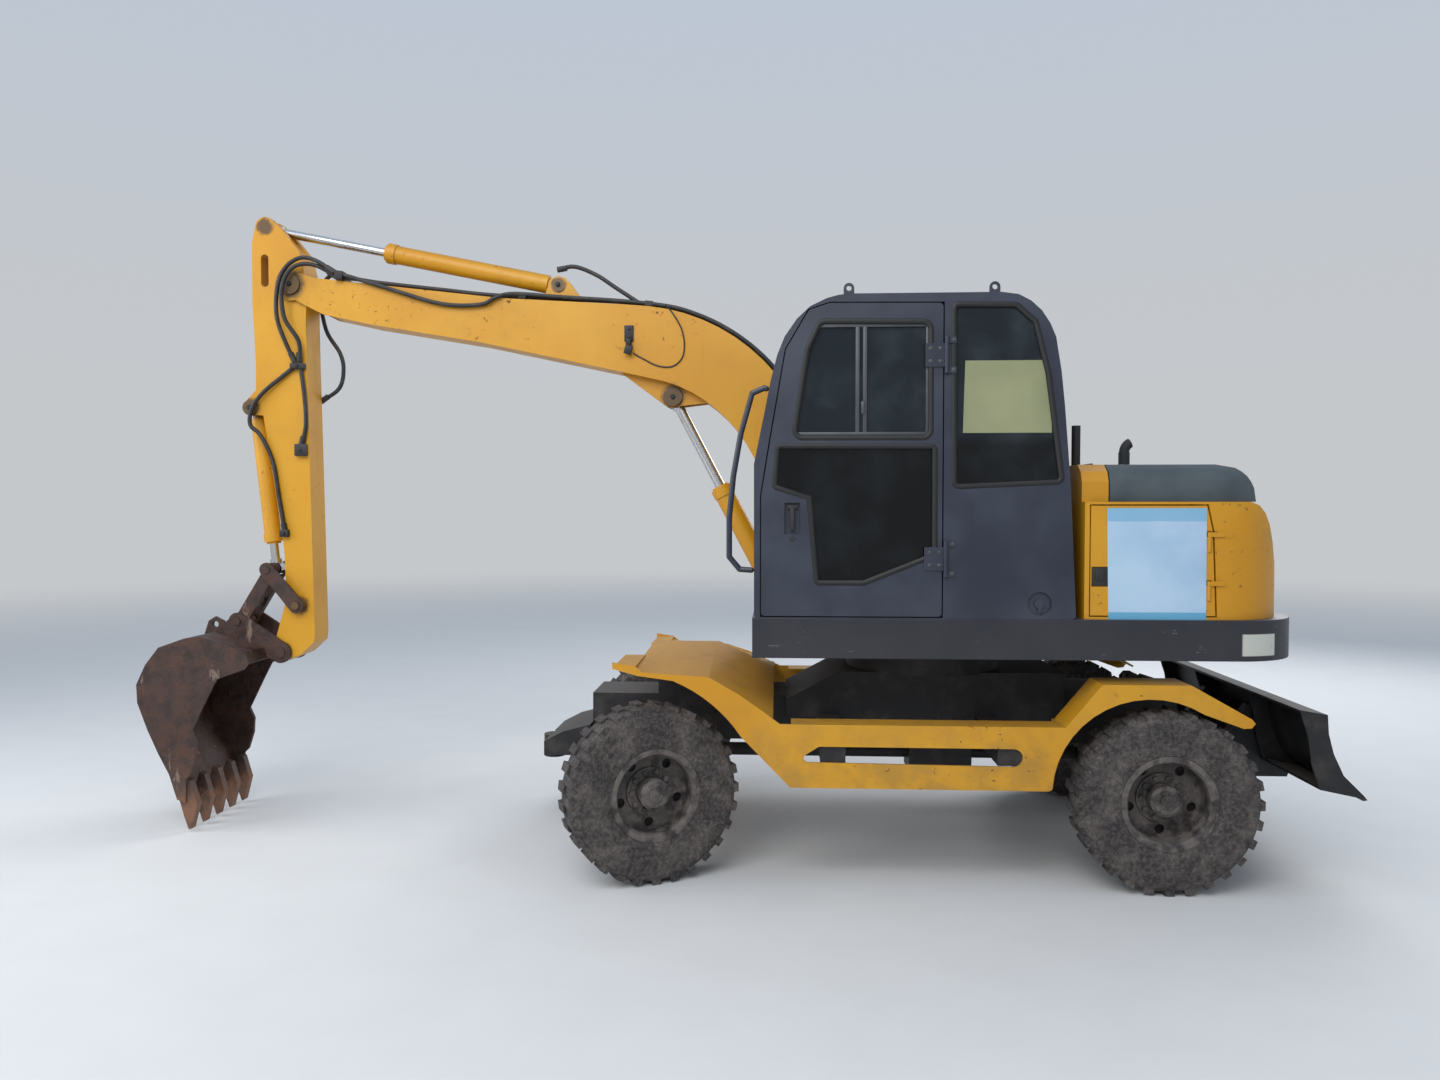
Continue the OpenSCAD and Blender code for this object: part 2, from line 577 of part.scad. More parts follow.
// a sheet that follows the cab's outline at depth d under its surface
module profile_sheet(d) {
    difference() {
        offset(delta = -d) polygon(cab_profile);
        offset(delta = -d - glass_t) polygon(cab_profile);
    }
}
module cab_glass() color([0.3, 0.35, 0.38, 0.5]) {
    across(cab_in + 60 + seat_gap, deck_y - 60 - seat_gap) intersection() {
        profile_sheet(12);
        translate([500, 1620 + seat_gap]) square([600, 1060 - 2 * seat_gap]);
    }
    across(cab_in + 90 + seat_gap, deck_y - 90 - seat_gap) intersection() {
        profile_sheet(12);
        translate([-700, 1960 + seat_gap]) square([300, 640 - 2 * seat_gap]);
    }
    across(cab_in + 12, cab_in + 12 + glass_t) offset(delta = -seat_gap) rounded(40)
        polygon([[-450, 1950], [-400, 2640], [620, 2640], [740, 2300], [790, 1950]]);
    across(deck_y - 12 - glass_t, deck_y - 12) offset(delta = -seat_gap) rounded(25)
        polygon(rear_side_window);
}
module cab_door() color(slate) {
    difference() {
        across(deck_y - cab_wall, deck_y + 4) rounded(18) polygon(door_profile);
        across(deck_y - 100, deck_y + 10) rounded(40) polygon(upper_window);
        across(deck_y - 100, deck_y + 10) rounded(18) polygon(lower_window);
        // recess of the door handle
        across(deck_y - 16, deck_y + 10) translate([700, 1700]) square([74, 150]);
    }
    // hinge leaves
    for (z = hinge_z) translate([door_hinge[0], door_hinge[1], z]) {
        cylinder(r = 11, h = hinge_h);
        translate([0, -9, 0]) cube([100, 8, hinge_h]);
    }
    // handle in the recess
    translate([726, deck_y - 16, 1730]) cube([20, 14, 90]);
}
module door_glass() color([0.2, 0.22, 0.25, 0.5]) {
    across(deck_y - 20, deck_y - 20 + glass_t) offset(delta = -seat_gap) rounded(40) polygon(upper_window);
    across(deck_y - 20, deck_y - 20 + glass_t) offset(delta = -seat_gap) rounded(18) polygon(lower_window);
}
seat_y = (cab_in + deck_y) / 2;
module seat() color(dark) {
    translate([-60, seat_y - 160, cab_floor]) cube([380, 320, 260]);
    translate([-100, seat_y - 240, cab_floor + 260 + seat_gap]) cube([480, 480, 130]);
    translate([-60, seat_y, cab_floor + 392]) rotate([0, -10, 0]) translate([-130, -235, 0])
        cube([130, 470, 620]);
}
module controls() color(dark) {
    // side consoles with their levers
    for (s = [-1, 1]) {
        translate([0, seat_y + s * 290 - 45, cab_floor]) cube([420, 90, 540]);
        translate([360, seat_y + s * 290, cab_floor + 530]) cylinder(r = 12, h = 190);
        translate([360, seat_y + s * 290, cab_floor + 700]) sphere(r = 26);
    }
    // steering column and wheel
    translate([640, seat_y, cab_floor]) {
        cylinder(r = 70, h = 30);
    }
    translate([640, seat_y, cab_floor + 20]) rotate([0, -12, 0]) {
        cylinder(r = 45, h = 640);
        translate([0, 0, 650]) rotate_extrude() translate([170, 0]) circle(r = 14, $fn = 20);
        translate([0, 0, 640]) cylinder(r = 60, h = 24);
        for (a = [0, 120, 240]) rotate([0, 0, a]) translate([0, -10, 644]) cube([170, 20, 12]);
    }
    // travel pedals
    for (s = [-1, 1]) translate([560, seat_y + s * 130 - 50, cab_floor]) rotate([0, -30, 0])
        cube([180, 100, 14]);
}
module grab_handle() color(dark) {
    path = [[862.1, 2398], [872, 2401], [930, 2376], [985, 2180], [1020, 1980], [1040, 1780], [1040, 1590],
        [990, 1530], [933.6, 1526]];
    hose([for (p = path) [p[0], 900, p[1]]], 14);
}

// Engine bay

bay_front = -640;
bay_y = 930;
// hinge line of the engine door, which is the lower rear edge of its panel
engine_hinge = [-1215, bay_y];
engine_hinge_z = [1390, 1620];
engine_hinge_h = 70;
door_front = -668;
hood_hinge = [-771, hood_top + 6];
// low hood over the bay: its front strip is fixed, the rest hinges on that strip
hood_seam = -765;
module hood_shell(x0, x1) {
    difference() {
        intersection() {
            across(-900, 900) polygon([[bay_front, cover_top + seat_gap], [bay_front, hood_top],
                [-1290, hood_top], [-1372, 2018], [-1412, 1979], [-1440, 1921],
                [-1450, cover_top + seat_gap]]);
            along(-2000, 0) polygon([[-870, cover_top], [-870, 1950], [-845, 2000], [-790, hood_top],
                [790, hood_top], [845, 2000], [870, 1950], [870, cover_top]]);
            translate([x0, -1000, cover_top]) cube([x1 - x0, 2000, 400]);
        }
        intersection() {
            across(-850, 850) polygon([[bay_front - 18, cover_top], [bay_front - 18, hood_top - 18],
                [-1282, hood_top - 18], [-1360, 2000], [-1394, 1968], [-1422, 1916], [-1432, cover_top]]);
            along(-2000, 0) polygon([[-852, cover_top - 1], [-852, 1945], [-784, hood_top - 18],
                [784, hood_top - 18], [852, 1945], [852, cover_top - 1]]);
        }
    }
}
module hood() color(grey) {
    hood_shell(-1600, hood_seam - 6);
    for (s = [-1, 1]) y_rod(hood_hinge, 9, s * 500 - 60, s * 500 + 60);
}
module engine() color(grey) translate([-1150, -420, deck_top + seat_gap]) cube([430, 760, 480]);
// outline of the engine bay's side, ending seat_gap short of the counterweight
module bay_side(z0, z1, x1, back) {
    intersection() {
        polygon([[seam[0][0] + back, seam[0][1]], [seam[1][0] + back, seam[1][1]],
            [seam[2][0] + back, seam[2][1]], [x1, cover_top], [x1, deck_top]]);
        translate([-1300, z0]) square([700, z1 - z0]);
    }
}
module engine_cover() color(yellow) {
    difference() {
        union() {
            difference() {
                across(-bay_y, bay_y) bay_side(deck_top, cover_top, bay_front, seat_gap);
                raised(deck_top - 1, cover_top + 1) translate([-1300, -bay_y + cover_t])
                    square([bay_front + 1300 - cover_t, 2 * bay_y - 2 * cover_t]);
            }
            translate([bay_front - 40, bay_y - 80, deck_top]) cube([40, 80, cover_top - deck_top]);
        }
        // opening of the side door
        across(bay_y - cover_t - 1, bay_y + 1) bay_side(deck_top + 12, cover_top - 12, door_front + 6, -1);
        // grille of the right side
        for (i = [0:8]) translate([-1150 + i * 50, -bay_y - 1, deck_top + 130]) cube([26, cover_t + 2, 300]);
    }
    translate([0, 0, -seat_gap]) difference() {
        hood_shell(hood_seam, bay_front);
        for (s = [-1, 1]) y_rod(hood_hinge, 13, s * 500 - 66, s * 500 + 66);
    }
}
module engine_door() color(yellow) {
    difference() {
        across(bay_y - cover_t, bay_y) bay_side(deck_top + 18, cover_top - 18, door_front, 8);
        translate([-753, bay_y - 12, 1455]) cube([80, 20, 94]);
        for (z = engine_hinge_z) translate([engine_hinge[0], engine_hinge[1], z + engine_hinge_h])
            cylinder(r = 13, h = 26);
    }
    // latch in its recess, hinge barrels
    translate([-730, bay_y - 13, 1484]) cube([36, 10, 36]);
    for (z = engine_hinge_z) translate([engine_hinge[0], engine_hinge[1], z])
        cylinder(r = 9, h = engine_hinge_h);
}
// stack with a cut elbow at its top
exhaust_at = [-1105, 0];
module exhaust() color(dark) translate([exhaust_at[0], exhaust_at[1], hood_top]) {
    cylinder(r = 46, h = 12);
    cylinder(r = 30, h = 96);
    translate([-60, 0, 95]) rotate([90, 0, 0]) rotate_extrude(angle = 62) translate([60, 0]) circle(r = 27);
}
module air_intake() color(dark) {
    translate([-714, 480, hood_top - seat_gap]) cylinder(r = 22, h = 210);
}
module side_tank() color(yellow) {
    translate([-600, -930, deck_top]) cube([1000, 640, cover_top - deck_top]);
    translate([400, -930, deck_top]) cube([440, 640, 260]);
}

// Boom

// top edge of the boom ahead of its knee
boom_top = [[1680, 2964], [2370, 3006], [2717, 3044], [3440, 3130]];
module boom_outline() {
    polygon(concat([[350, 1520]], [[736, 2451]], arc([1645, 1889], 1069, 146, 96, 9), boom_top,
        arc(boom_tip, 92, 75, -105, 12),
        [[3395, 2925], [3123, 2865], [2486, 2758], [1698, 2590]],
        arc([1665, 1767], 797, 106, 154, 8), [[515, 1440]]));
}
module boom() color(yellow) {
    difference() {
        union() {
            across(boom_y - boom_w / 2, boom_y + boom_w / 2) boom_outline();
            y_rod(boom_foot, 85, boom_y - boom_w / 2, boom_y + boom_w / 2);
            // belly bracket for the boom cylinder's head
            for (s = [-1, 1]) across(boom_y + s * 55 - 10, boom_y + s * 55 + 10) polygon([[1700, 2592],
                [1440, 2400], [1400, 2385], [1350, 2400], [1180, 2420], [1500, 2700]]);
            // lug for the arm cylinder's foot
            for (s = [-1, 1]) across(boom_y + s * 50 - 10, boom_y + s * 50 + 10) polygon([[1870, 2940],
                [2010, 3125], [2054, 3140], [2100, 3120], [2150, 2970]]);
        }
        // fork at the tip, well of the cylinder's head and the pin bores
        across(boom_y - boom_w / 2 + fork_t, boom_y + boom_w / 2 - fork_t)
            polygon([[3350, 2700], [3350, 3010], [3230, 3010], [3230, 3300], [3900, 3300], [3900, 2700]]);
        y_rod(boom_tip, 32 + pin_gap, boom_y - 300, boom_y + 300);
        across(boom_y - 45, boom_y + 45) translate(boom_cyl_head) circle(r = 135);
        across(boom_y - 40, boom_y + 40) translate(arm_cyl_foot) circle(r = 84);
    }
    y_rod(boom_foot, 35, boom_y - boom_w / 2 - 34, boom_y + boom_w / 2 + 34);
    y_rod(arm_cyl_foot, 25, boom_y - 64, boom_y + 64);
    for (s = [-1, 1]) {
        y_rod(boom_cyl_head, 26, boom_y + s * 57 - 13, boom_y + s * 57 + 13);
        y_rod(boom_cyl_head, 52, boom_y + s * 73 - 10, boom_y + s * 73 + 10);
        y_rod(arm_cyl_foot, 40, boom_y + s * 62 - 6, boom_y + s * 62 + 6);
        y_rod(boom_foot, 60, boom_y + s * (boom_w / 2 - 4) - 6, boom_y + s * (boom_w / 2 - 4) + 6);
    }
}
module boom_barrel() color(yellow)
    barrel(boom_cyl_foot, boom_cyl_head, boom_y, boom_cyl_r, boom_rod_r, 745, 90, 56, 30);
module boom_rod() color(steel)
    piston_rod(boom_cyl_foot, boom_cyl_head, boom_y, boom_rod_r, 470, 80, 50);

// Arm

module arm_outline() {
    polygon(concat(arc(arm_cyl_head, 56, 150, 15, 8), [[3816, 3340], [3818, 3014], [3810, 2843], [3802, 2640],
        [3804, 2500]], arc(bucket_cyl_foot, 46, 60, -65, 6), [[3762, 2355], [3666, 1716], [3648, 1560],
        [3640, 1300]],
        arc(bucket_pin, 56, 15, -130, 8), [[3560, 975], [3480, 1048], [3474, 1100], [3486, 1716],
        [3506, 2876], [3500, 3060]], arc(boom_tip, 90, 200, 150, 4), [[3538, 3285], [3645, 3420]]));
}
module arm() color(yellow) {
    y0 = boom_y - arm_w / 2;
    y1 = boom_y + arm_w / 2;
    difference() {
        union() {
            across(y0, y1) arm_outline();
            y_rod(link_arm, 45, y0 - 26, y1 + 26);
        }
        // slot for the arm cylinder's eye
        across(boom_y - 42, boom_y + 42) polygon([[3500, 3290], [3960, 3290], [3960, 3600], [3500, 3600]]);
        // opening in the web
        across(y0 - 1, y1 + 1) hull() {
            translate([3742, 3110]) circle(22);
            translate([3742, 3250]) circle(22);
        }
        // fork for the bucket cylinder's foot
        across(boom_y - 36, boom_y + 36) translate(bucket_cyl_foot) circle(r = 66);
        across(boom_y - 36, boom_y + 36) polygon([[3790, 2400], [3960, 2400], [3960, 2200], [3770, 2200]]);
        y_rod(bucket_pin, 28 + pin_gap, y0 - 1, y1 + 1);
    }
    y_rod(bucket_cyl_foot, 24, boom_y - 60, boom_y + 60);
    y_rod(boom_tip, 32, boom_y - boom_w / 2 - 12, boom_y + boom_w / 2 + 12);
    // collars as [pin, radius, distance of their middle from the arm's middle plane]
    for (c = [[boom_tip, 58, boom_w / 2 + 8], [bucket_cyl_foot, 42, arm_w / 2 + 4]], s = [-1, 1])
        y_rod(c[0], c[1], boom_y + s * c[2] - 6, boom_y + s * c[2] + 6);
    y_rod(link_arm, 22, y0 - 56, y1 + 56);
    for (s = [-1, 1]) y_rod(arm_cyl_head, 26, boom_y + s * 56 - 14, boom_y + s * 56 + 14);
}
module arm_barrel() color(yellow)
    barrel(arm_cyl_foot, arm_cyl_head, boom_y, arm_cyl_r, rod_r, 1030, 66, 52, 25);
module arm_rod() color(steel)
    piston_rod(arm_cyl_foot, arm_cyl_head, boom_y, rod_r, 830, 74, 46);

// Bucket gear

module bucket_barrel() color(yellow)
    barrel(bucket_cyl_foot, link_top, boom_y, bucket_cyl_r, rod_r, 790, 62, 46, 24);
module bucket_rod() color(rust)
    piston_rod(bucket_cyl_foot, link_top, boom_y, rod_r, 260, 56, 40);
// two outer plates from the arm to the cylinder's head, with a stub pin each
rocker_y = arm_w / 2 + 28;
module rocker() color(rust) {
    for (s = [-1, 1]) {
        y0 = boom_y + s * (rocker_y + 7);
        difference() {
            across(y0 - 7, y0 + 7) bar(link_arm, link_top, 44, 40);
            y_rod(link_arm, 22 + pin_gap, y0 - 30, y0 + 30);
        }
        y_rod(link_top, 22, y0 - 22, y0 + 14);
    }
}
module link() color(rust) {
    difference() {
        union() {
            for (s = [-1, 1]) across(boom_y + s * 56 - 20, boom_y + s * 56 + 20)
                bar(link_top, link_low, 36, 36);
            for (s = [-1, 1]) y_rod(link_top, 30, boom_y + s * 85 - 12, boom_y + s * 85 + 12);
            y_rod(link_low, 40, boom_y - arm_w / 2, boom_y + arm_w / 2);
            y_rod(link_top + 0.62 * (link_low - link_top), 26, boom_y - 60, boom_y + 60);
        }
        y_rod(link_low, 22 + pin_gap, boom_y - 120, boom_y + 120);
    }
}
bucket_back = [[3766, 1019], [4016, 1106], [4119, 1094], [4264, 1043], [4340, 947], [4394, 834],
    [4390, 733], [4335, 582], [4274, 447], [4213, 330], [4169, 189]];
bucket_mouth = [[4120, 170], [4106, 523], [4076, 585], [3987, 765], [3934, 867], [3773, 924],
    [3745, 960]];
ear_y = arm_w / 2 + run_gap;
tooth = [[4130, 300], [4100, 290], [4062, 160], [4098, 20], [4112, 15], [4138, 90], [4166, 190]];
module bucket() color(rust) {
    y0 = boom_y - bucket_w / 2;
    y1 = boom_y + bucket_w / 2;
    difference() {
        across(y0, y1) polygon(concat(bucket_back, bucket_mouth));
        across(y0 + bucket_t, y1 - bucket_t) offset(delta = -bucket_t) polygon(concat(bucket_back,
            [[4080, 150], [3600, 700], [3600, 905], [3730, 945]]));
    }
    // ears with the two pins
    for (s = [-1, 1]) mirror_y(boom_y, s) across(boom_y + ear_y, boom_y + ear_y + 18) {
        bar(bucket_pin, link_low, 60, 50);
        polygon([[3669, 929], [3745, 960], [4000, 1080], [4060, 1095], [3975, 1180], [3800, 1150]]);
    }
    y_rod(bucket_pin, 28, boom_y - ear_y - 26, boom_y + ear_y + 26);
    y_rod(link_low, 22, boom_y - ear_y - 26, boom_y + ear_y + 26);
    // lifting eye
    difference() {
        across(boom_y - 10, boom_y + 10) polygon([[4030, 1090], [4060, 1160], [4110, 1185], [4150, 1160],
            [4180, 1070]]);
        y_rod([4108, 1140], 18, boom_y - 20, boom_y + 20);
    }
    // side cutters and wear strips under the floor
    for (s = [-1, 1]) mirror_y(boom_y, s) across(boom_y + bucket_w / 2 - bucket_t, boom_y + bucket_w / 2 + 8)
        polygon([[4120, 300], [4090, 330], [4058, 430], [4052, 520], [4080, 585], [4130, 520], [4150, 330]]);
    // teeth on the lip
    for (i = [0:teeth - 1]) {
        y = boom_y + (i - (teeth - 1) / 2) * (bucket_w - 80) / (teeth - 1);
        across(y - 24, y + 24) polygon(tooth);
    }
}

// Hoses

// round bar along a path of points
module hose(path, r) {
    for (i = [0:len(path) - 2]) hull() {
        translate(path[i]) sphere(r = r, $fn = 10);
        translate(path[i + 1]) sphere(r = r, $fn = 10);
    }
}
hose_r = 12;
// middle line of a hose that lies on the boom's back and top, at the side offset y
function on_boom(y, last_x) = concat([[473, y, 1862], [720, y, 2458]],
    [for (p = arc([1645, 1889], 1087, 145, 96, 6)) [p[0], y, p[1]]],
    [for (x = [1680, 2370, 2717, 3060]) if (x <= last_x) [x, y, lookup(x, boom_top) + 20]]);
tip_clamp_x = [3265, 3315];
module boom_hoses() color(dark) {
    hose(concat(on_boom(14, 3060), [[3200, 50, 3122], [3290, 50, 3133]]), hose_r);
    hose(concat(on_boom(-136, 3060), [[3200, -170, 3122], [3290, -170, 3133]]), hose_r);
    // near hose, which sags over the boom's side
    hose(concat(on_boom(41, 1680), [[2027, 41, 3010], [2290, 50, 3030], [2390, 78, 3006], [2482, 78, 2966],
        [2710, 78, 2974], [3025, 78, 3068], [3290, 78, 3150]]), hose_r);
    // loop to the arm cylinder's foot
    hose([[2060, -14, 3175], [1960, -8, 3190], [1835, 0, 3140], [1729, 4, 3070], [1590, 14, 2978]], hose_r);
    // clamps as [x, z, slope, depth of the foot]: on the boom's back and along its top
    for (c = [[559, 2071, 67.5, 16.6], [1531, 2970, 6, 17.6], [2250, 3018.7, 3.5, 19.6]])
        translate([c[0], 0, c[1]]) rotate([0, -c[2], 0]) translate([-25, -150, -c[3]])
            cube([50, 205, c[3] + 15]);
    // and on the fork's two ears
    for (y = [[38, 94], [-186, -156]]) across(y[0], y[1]) polygon([[tip_clamp_x[0], 3109.6],
        [tip_clamp_x[1], 3115.6], [tip_clamp_x[1], y[1] > 0 ? 3170 : 3150],
        [tip_clamp_x[0], y[1] > 0 ? 3164 : 3146]]);
}
// bundle over the elbow
elbow_lines = [
    [[3327.3, 78, 3160], [3420, 80, 3222], [3500, 86, 3240], [3575, 88, 3205], [3630, 88, 3130],
        [3652, 88, 3010], [3648, 84, 2889], [3606, 72, 2760], [3566, 56, 2664]],
    [[3327.3, 50, 3140], [3420, 60, 3196], [3494, 78, 3206], [3552, 100, 3180], [3596, 110, 3110],
        [3612, 110, 3010], [3596, 100, 2889], [3530, 76, 2770], [3536, 55, 2664]],
    [[3327.3, -171, 3138], [3440, -192, 3200], [3520, -206, 3100], [3486, -196, 2880], [3400, -188, 2740],
        [3378, -186, 2640], [3404, -182, 2530], [3520, -172, 2446]]
];
module elbow_hoses() color(dark) {
    for (l = elbow_lines) hose(l, hose_r);
    translate([3508, -186, 2420]) cube([52, 30.7, 52]);
}
arm_side = boom_y + arm_w / 2;
arm_lines = [
    [[3560, 13.4, 2636], [3643, 18, 2571], [3740, 27, 2490], [3812, 28, 2400], [3826, 28, 2300],
        [3770, 20, 2240], [3704, 13.4, 2092], [3668, 13.4, 1874], [3636, 13.4, 1680]],
    [[3534, 13.4, 2636], [3512, 13.4, 2456], [3506, 13.4, 2300], [3534, 13.4, 2180]]
];
module arm_hoses() color(dark) translate([0, arm_side, 0]) {
    for (l = arm_lines) hose(l, hose_r);
    // clamp block of the bundle and junction blocks as [x, z, length, height]
    for (b = [[3505, 2615, 86, 36], [3500, 2120, 70, 70], [3612, 1655, 52, 44]])
        translate([b[0], seat_gap, b[1]]) cube([b[2], 32, b[3]]);
}

chassis();
side_frame_left();
side_frame_right();
front_axle();
rear_axle();
drive_line();
steering_rod();
knuckle_left();
knuckle_right();
front_tyre_left();
front_rim_left();
front_tyre_right();
front_rim_right();
rear_tyre_left();
rear_rim_left();
rear_tyre_right();
rear_rim_right();
blade();
blade_barrel();
blade_rod();
deck();
counterweight();
cab();
cab_glass();
cab_door();
door_glass();
seat();
controls();
engine();
engine_cover();
engine_door();
hood();
exhaust();
air_intake();
side_tank();
grab_handle();
boom();
boom_barrel();
boom_rod();
arm();
arm_barrel();
arm_rod();
bucket();
bucket_barrel();
bucket_rod();
rocker();
link();
boom_hoses();
elbow_hoses();
arm_hoses();
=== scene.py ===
import bmesh
import bpy
import math
from mathutils import Matrix, Vector


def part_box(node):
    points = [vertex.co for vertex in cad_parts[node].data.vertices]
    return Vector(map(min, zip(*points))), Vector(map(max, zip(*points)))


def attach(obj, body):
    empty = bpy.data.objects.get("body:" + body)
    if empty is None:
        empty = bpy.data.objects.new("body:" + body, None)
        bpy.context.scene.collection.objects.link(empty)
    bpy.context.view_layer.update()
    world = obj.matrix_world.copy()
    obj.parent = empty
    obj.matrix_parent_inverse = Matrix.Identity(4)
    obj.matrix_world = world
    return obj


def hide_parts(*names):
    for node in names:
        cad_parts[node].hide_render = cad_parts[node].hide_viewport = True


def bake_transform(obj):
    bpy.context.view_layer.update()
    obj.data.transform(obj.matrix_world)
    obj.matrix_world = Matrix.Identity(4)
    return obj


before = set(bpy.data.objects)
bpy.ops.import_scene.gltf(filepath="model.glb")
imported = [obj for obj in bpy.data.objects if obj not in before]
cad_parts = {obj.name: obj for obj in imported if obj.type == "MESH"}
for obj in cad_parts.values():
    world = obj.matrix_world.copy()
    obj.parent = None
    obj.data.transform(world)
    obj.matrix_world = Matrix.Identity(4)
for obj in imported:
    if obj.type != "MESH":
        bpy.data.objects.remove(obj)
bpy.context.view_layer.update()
scene = bpy.context.scene
scene.view_settings.view_transform = "Standard"


# Tyres: four lugged industrial tyres, moulded in one piece of black rubber with deep blocks on
# both shoulders. They are coated with dried mud that is thickest between the blocks and fades on
# the sidewalls, where the rubber shows through.
class Sock:
    """A shader socket that takes part in sums; one method makes every other node."""

    def __init__(self, tree, out):
        self.tree, self.out = tree, out

    def node(self, kind, settings=(), inputs=(), out=0):
        n = self.tree.nodes.new(kind)
        for k, v in dict(settings).items():
            setattr(n, k, v)
        for k, v in dict(inputs).items():
            put(self.tree, n.inputs[k], v)
        return Sock(self.tree, n.outputs[out])

    def math(self, op, a, b, clamp=False):
        return self.node("ShaderNodeMath", {"operation": op, "use_clamp": clamp}, {0: a, 1: b})

    def __add__(self, other):
        return self.math("ADD", self, other)

    def __radd__(self, other):
        return self.math("ADD", other, self)

    def __sub__(self, other):
        return self.math("SUBTRACT", self, other)

    def __rsub__(self, other):
        return self.math("SUBTRACT", other, self)

    def __mul__(self, other):
        return self.math("MULTIPLY", self, other)

    def __rmul__(self, other):
        return self.math("MULTIPLY", other, self)

    def unit(self):
        """The same value held between 0 and 1."""
        return self.math("ADD", self, 0.0, clamp=True)

    def band(self, lo, hi):
        """0 below lo, 1 above hi, smooth between."""
        return self.node("ShaderNodeMapRange", {"interpolation_type": "SMOOTHSTEP"},
                         {"Value": self, "From Min": lo, "From Max": hi})

    def mix(self, a, b):
        """Colour a where self is 0 and b where it is 1."""
        return self.node("ShaderNodeMix", {"data_type": "RGBA"}, {0: self, 6: a, 7: b}, 2)

    def scaled(self, v):
        return self.node("ShaderNodeVectorMath", {"operation": "MULTIPLY"}, {0: self, 1: v})

    def noise(self, scale, detail=4.0, rough=0.55, stretch=(1, 1, 1)):
        return self.node("ShaderNodeTexNoise", {}, {"Vector": self.scaled(stretch), "Scale": scale,
                                                    "Detail": detail, "Roughness": rough})

    def along(self, axis):
        """One coordinate of a place or a direction: 0, 1 or 2 for X, Y or Z."""
        return self.node("ShaderNodeSeparateXYZ", {}, {0: self}, axis)


def put(tree, socket, v):
    """Links a value into a socket, or sets it there."""
    if isinstance(v, Sock):
        tree.links.new(v.out, socket)
    elif isinstance(v, (tuple, list)) and len(v) == 3 and socket.type == "RGBA":
        socket.default_value = (*v, 1.0)
    else:
        socket.default_value = v


def srgb(r, g, b):
    """A colour as the shader counts it, from the usual 0 to 255."""
    return tuple((c / 255 / 12.92) if c < 11 else ((c / 255 + 0.055) / 1.055) ** 2.4 for c in (r, g, b))


def finish_named(name, look):
    """A material whose looks come from look(place, facing) as a dict of shader inputs."""
    mat = bpy.data.materials.new(name)
    mat.use_nodes = True
    tree = mat.node_tree
    shader = tree.nodes["Principled BSDF"]
    place = Sock(tree, tree.nodes.new("ShaderNodeTexCoord").outputs["Object"])
    facing = Sock(tree, tree.nodes.new("ShaderNodeNewGeometry").outputs["Normal"])
    looks = look(place, facing)
    height = looks.pop("height", None)
    if height is not None:
        depth = looks.pop("depth", 0.002)
        bump = place.node("ShaderNodeBump", {}, {"Height": height, "Distance": depth, "Strength": 1.0})
        put(tree, shader.inputs["Normal"], bump)
    for k, v in looks.items():
        put(tree, shader.inputs[k], v)
    return mat


def wear(names, mat):
    """Puts a finish on CAD nodes."""
    for name in names:
        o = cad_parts[name]
        o.data.materials.clear()
        o.data.materials.append(mat)


def tyre_look(p, facing):
    patches = p.noise(7, 7, 0.7).band(0.4, 0.66)
    crumbs = p.noise(55, 6, 0.75)
    rubber = crumbs.mix(srgb(30, 28, 29), srgb(54, 50, 50))
    soil = crumbs.mix(srgb(82, 76, 72), srgb(120, 112, 106))
    mud = (patches * 0.55 + crumbs.band(0.42, 0.62) * 0.45).unit()
    return {"Base Color": mud.mix(rubber, soil), "Roughness": mud * 0.15 + 0.78,
            "height": crumbs + patches * 1.5 + p.noise(220, 3) * 0.5, "depth": 0.004}


WHEELS = [f"{axle}_{{}}_{side}" for axle in ("front", "rear") for side in ("left", "right")]
wear([wheel.format("tyre") for wheel in WHEELS], finish_named("tyre_rubber", tyre_look))


# Rims: pressed steel wheels with deep dished discs, once dark red-brown, now the colour of the dried
# mud that fills the dish. The hub cap and its nuts stand proud of the disc.
def rim_look(p, facing):
    dust = (p.noise(14, 5).band(0.35, 0.6) * 0.7 + p.noise(50, 5).band(0.5, 0.7) * 0.3).unit()
    fine = p.noise(90, 4)
    paint = fine.mix(srgb(36, 33, 33), srgb(56, 51, 50))
    return {"Base Color": dust.mix(paint, srgb(110, 103, 97)), "Roughness": dust * 0.25 + 0.6,
            "height": fine + dust, "depth": 0.0015}


wear([wheel.format("rim") for wheel in WHEELS], finish_named("rim_paint", rim_look))


# Running gear: cast axles, yokes, the propeller shaft, the frame box and the raised dozer blade, all
# in plain black paint that is dull with dust on its upper faces.
def black_look(p, facing):
    up = facing.along(2).band(0.2, 0.9)
    dust = (up * 0.5 + p.noise(7, 5).band(0.45, 0.75) * 0.3).unit()
    fine = p.noise(70, 4)
    paint = fine.mix(srgb(15, 15, 17), srgb(27, 26, 28))
    return {"Base Color": dust.mix(paint, srgb(94, 86, 80)), "Roughness": dust * 0.3 + 0.55,
            "height": fine, "depth": 0.001}


def soft_edges(widths):
    """Gives the plates of CAD nodes the rounded edges that bending and paint leave on them."""
    same_point, same_plane, sharp_from = 0.00002, math.radians(0.6), math.radians(32)
    for name, width in widths.items():
        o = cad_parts[name]
        o.modifiers.new("weld", "WELD").merge_threshold = same_point
        flat = o.modifiers.new("flat", "DECIMATE")
        flat.decimate_type, flat.angle_limit = "DISSOLVE", same_plane
        edge = o.modifiers.new("edge", "BEVEL")
        edge.width, edge.segments, edge.limit_method = width, 2, "ANGLE"
        edge.angle_limit, edge.harden_normals = sharp_from, True
        edge.use_clamp_overlap = True
        even = o.modifiers.new("even", "WEIGHTED_NORMAL")
        even.weight, even.keep_sharp = 50, True
        for face in o.data.polygons:
            face.use_smooth = True


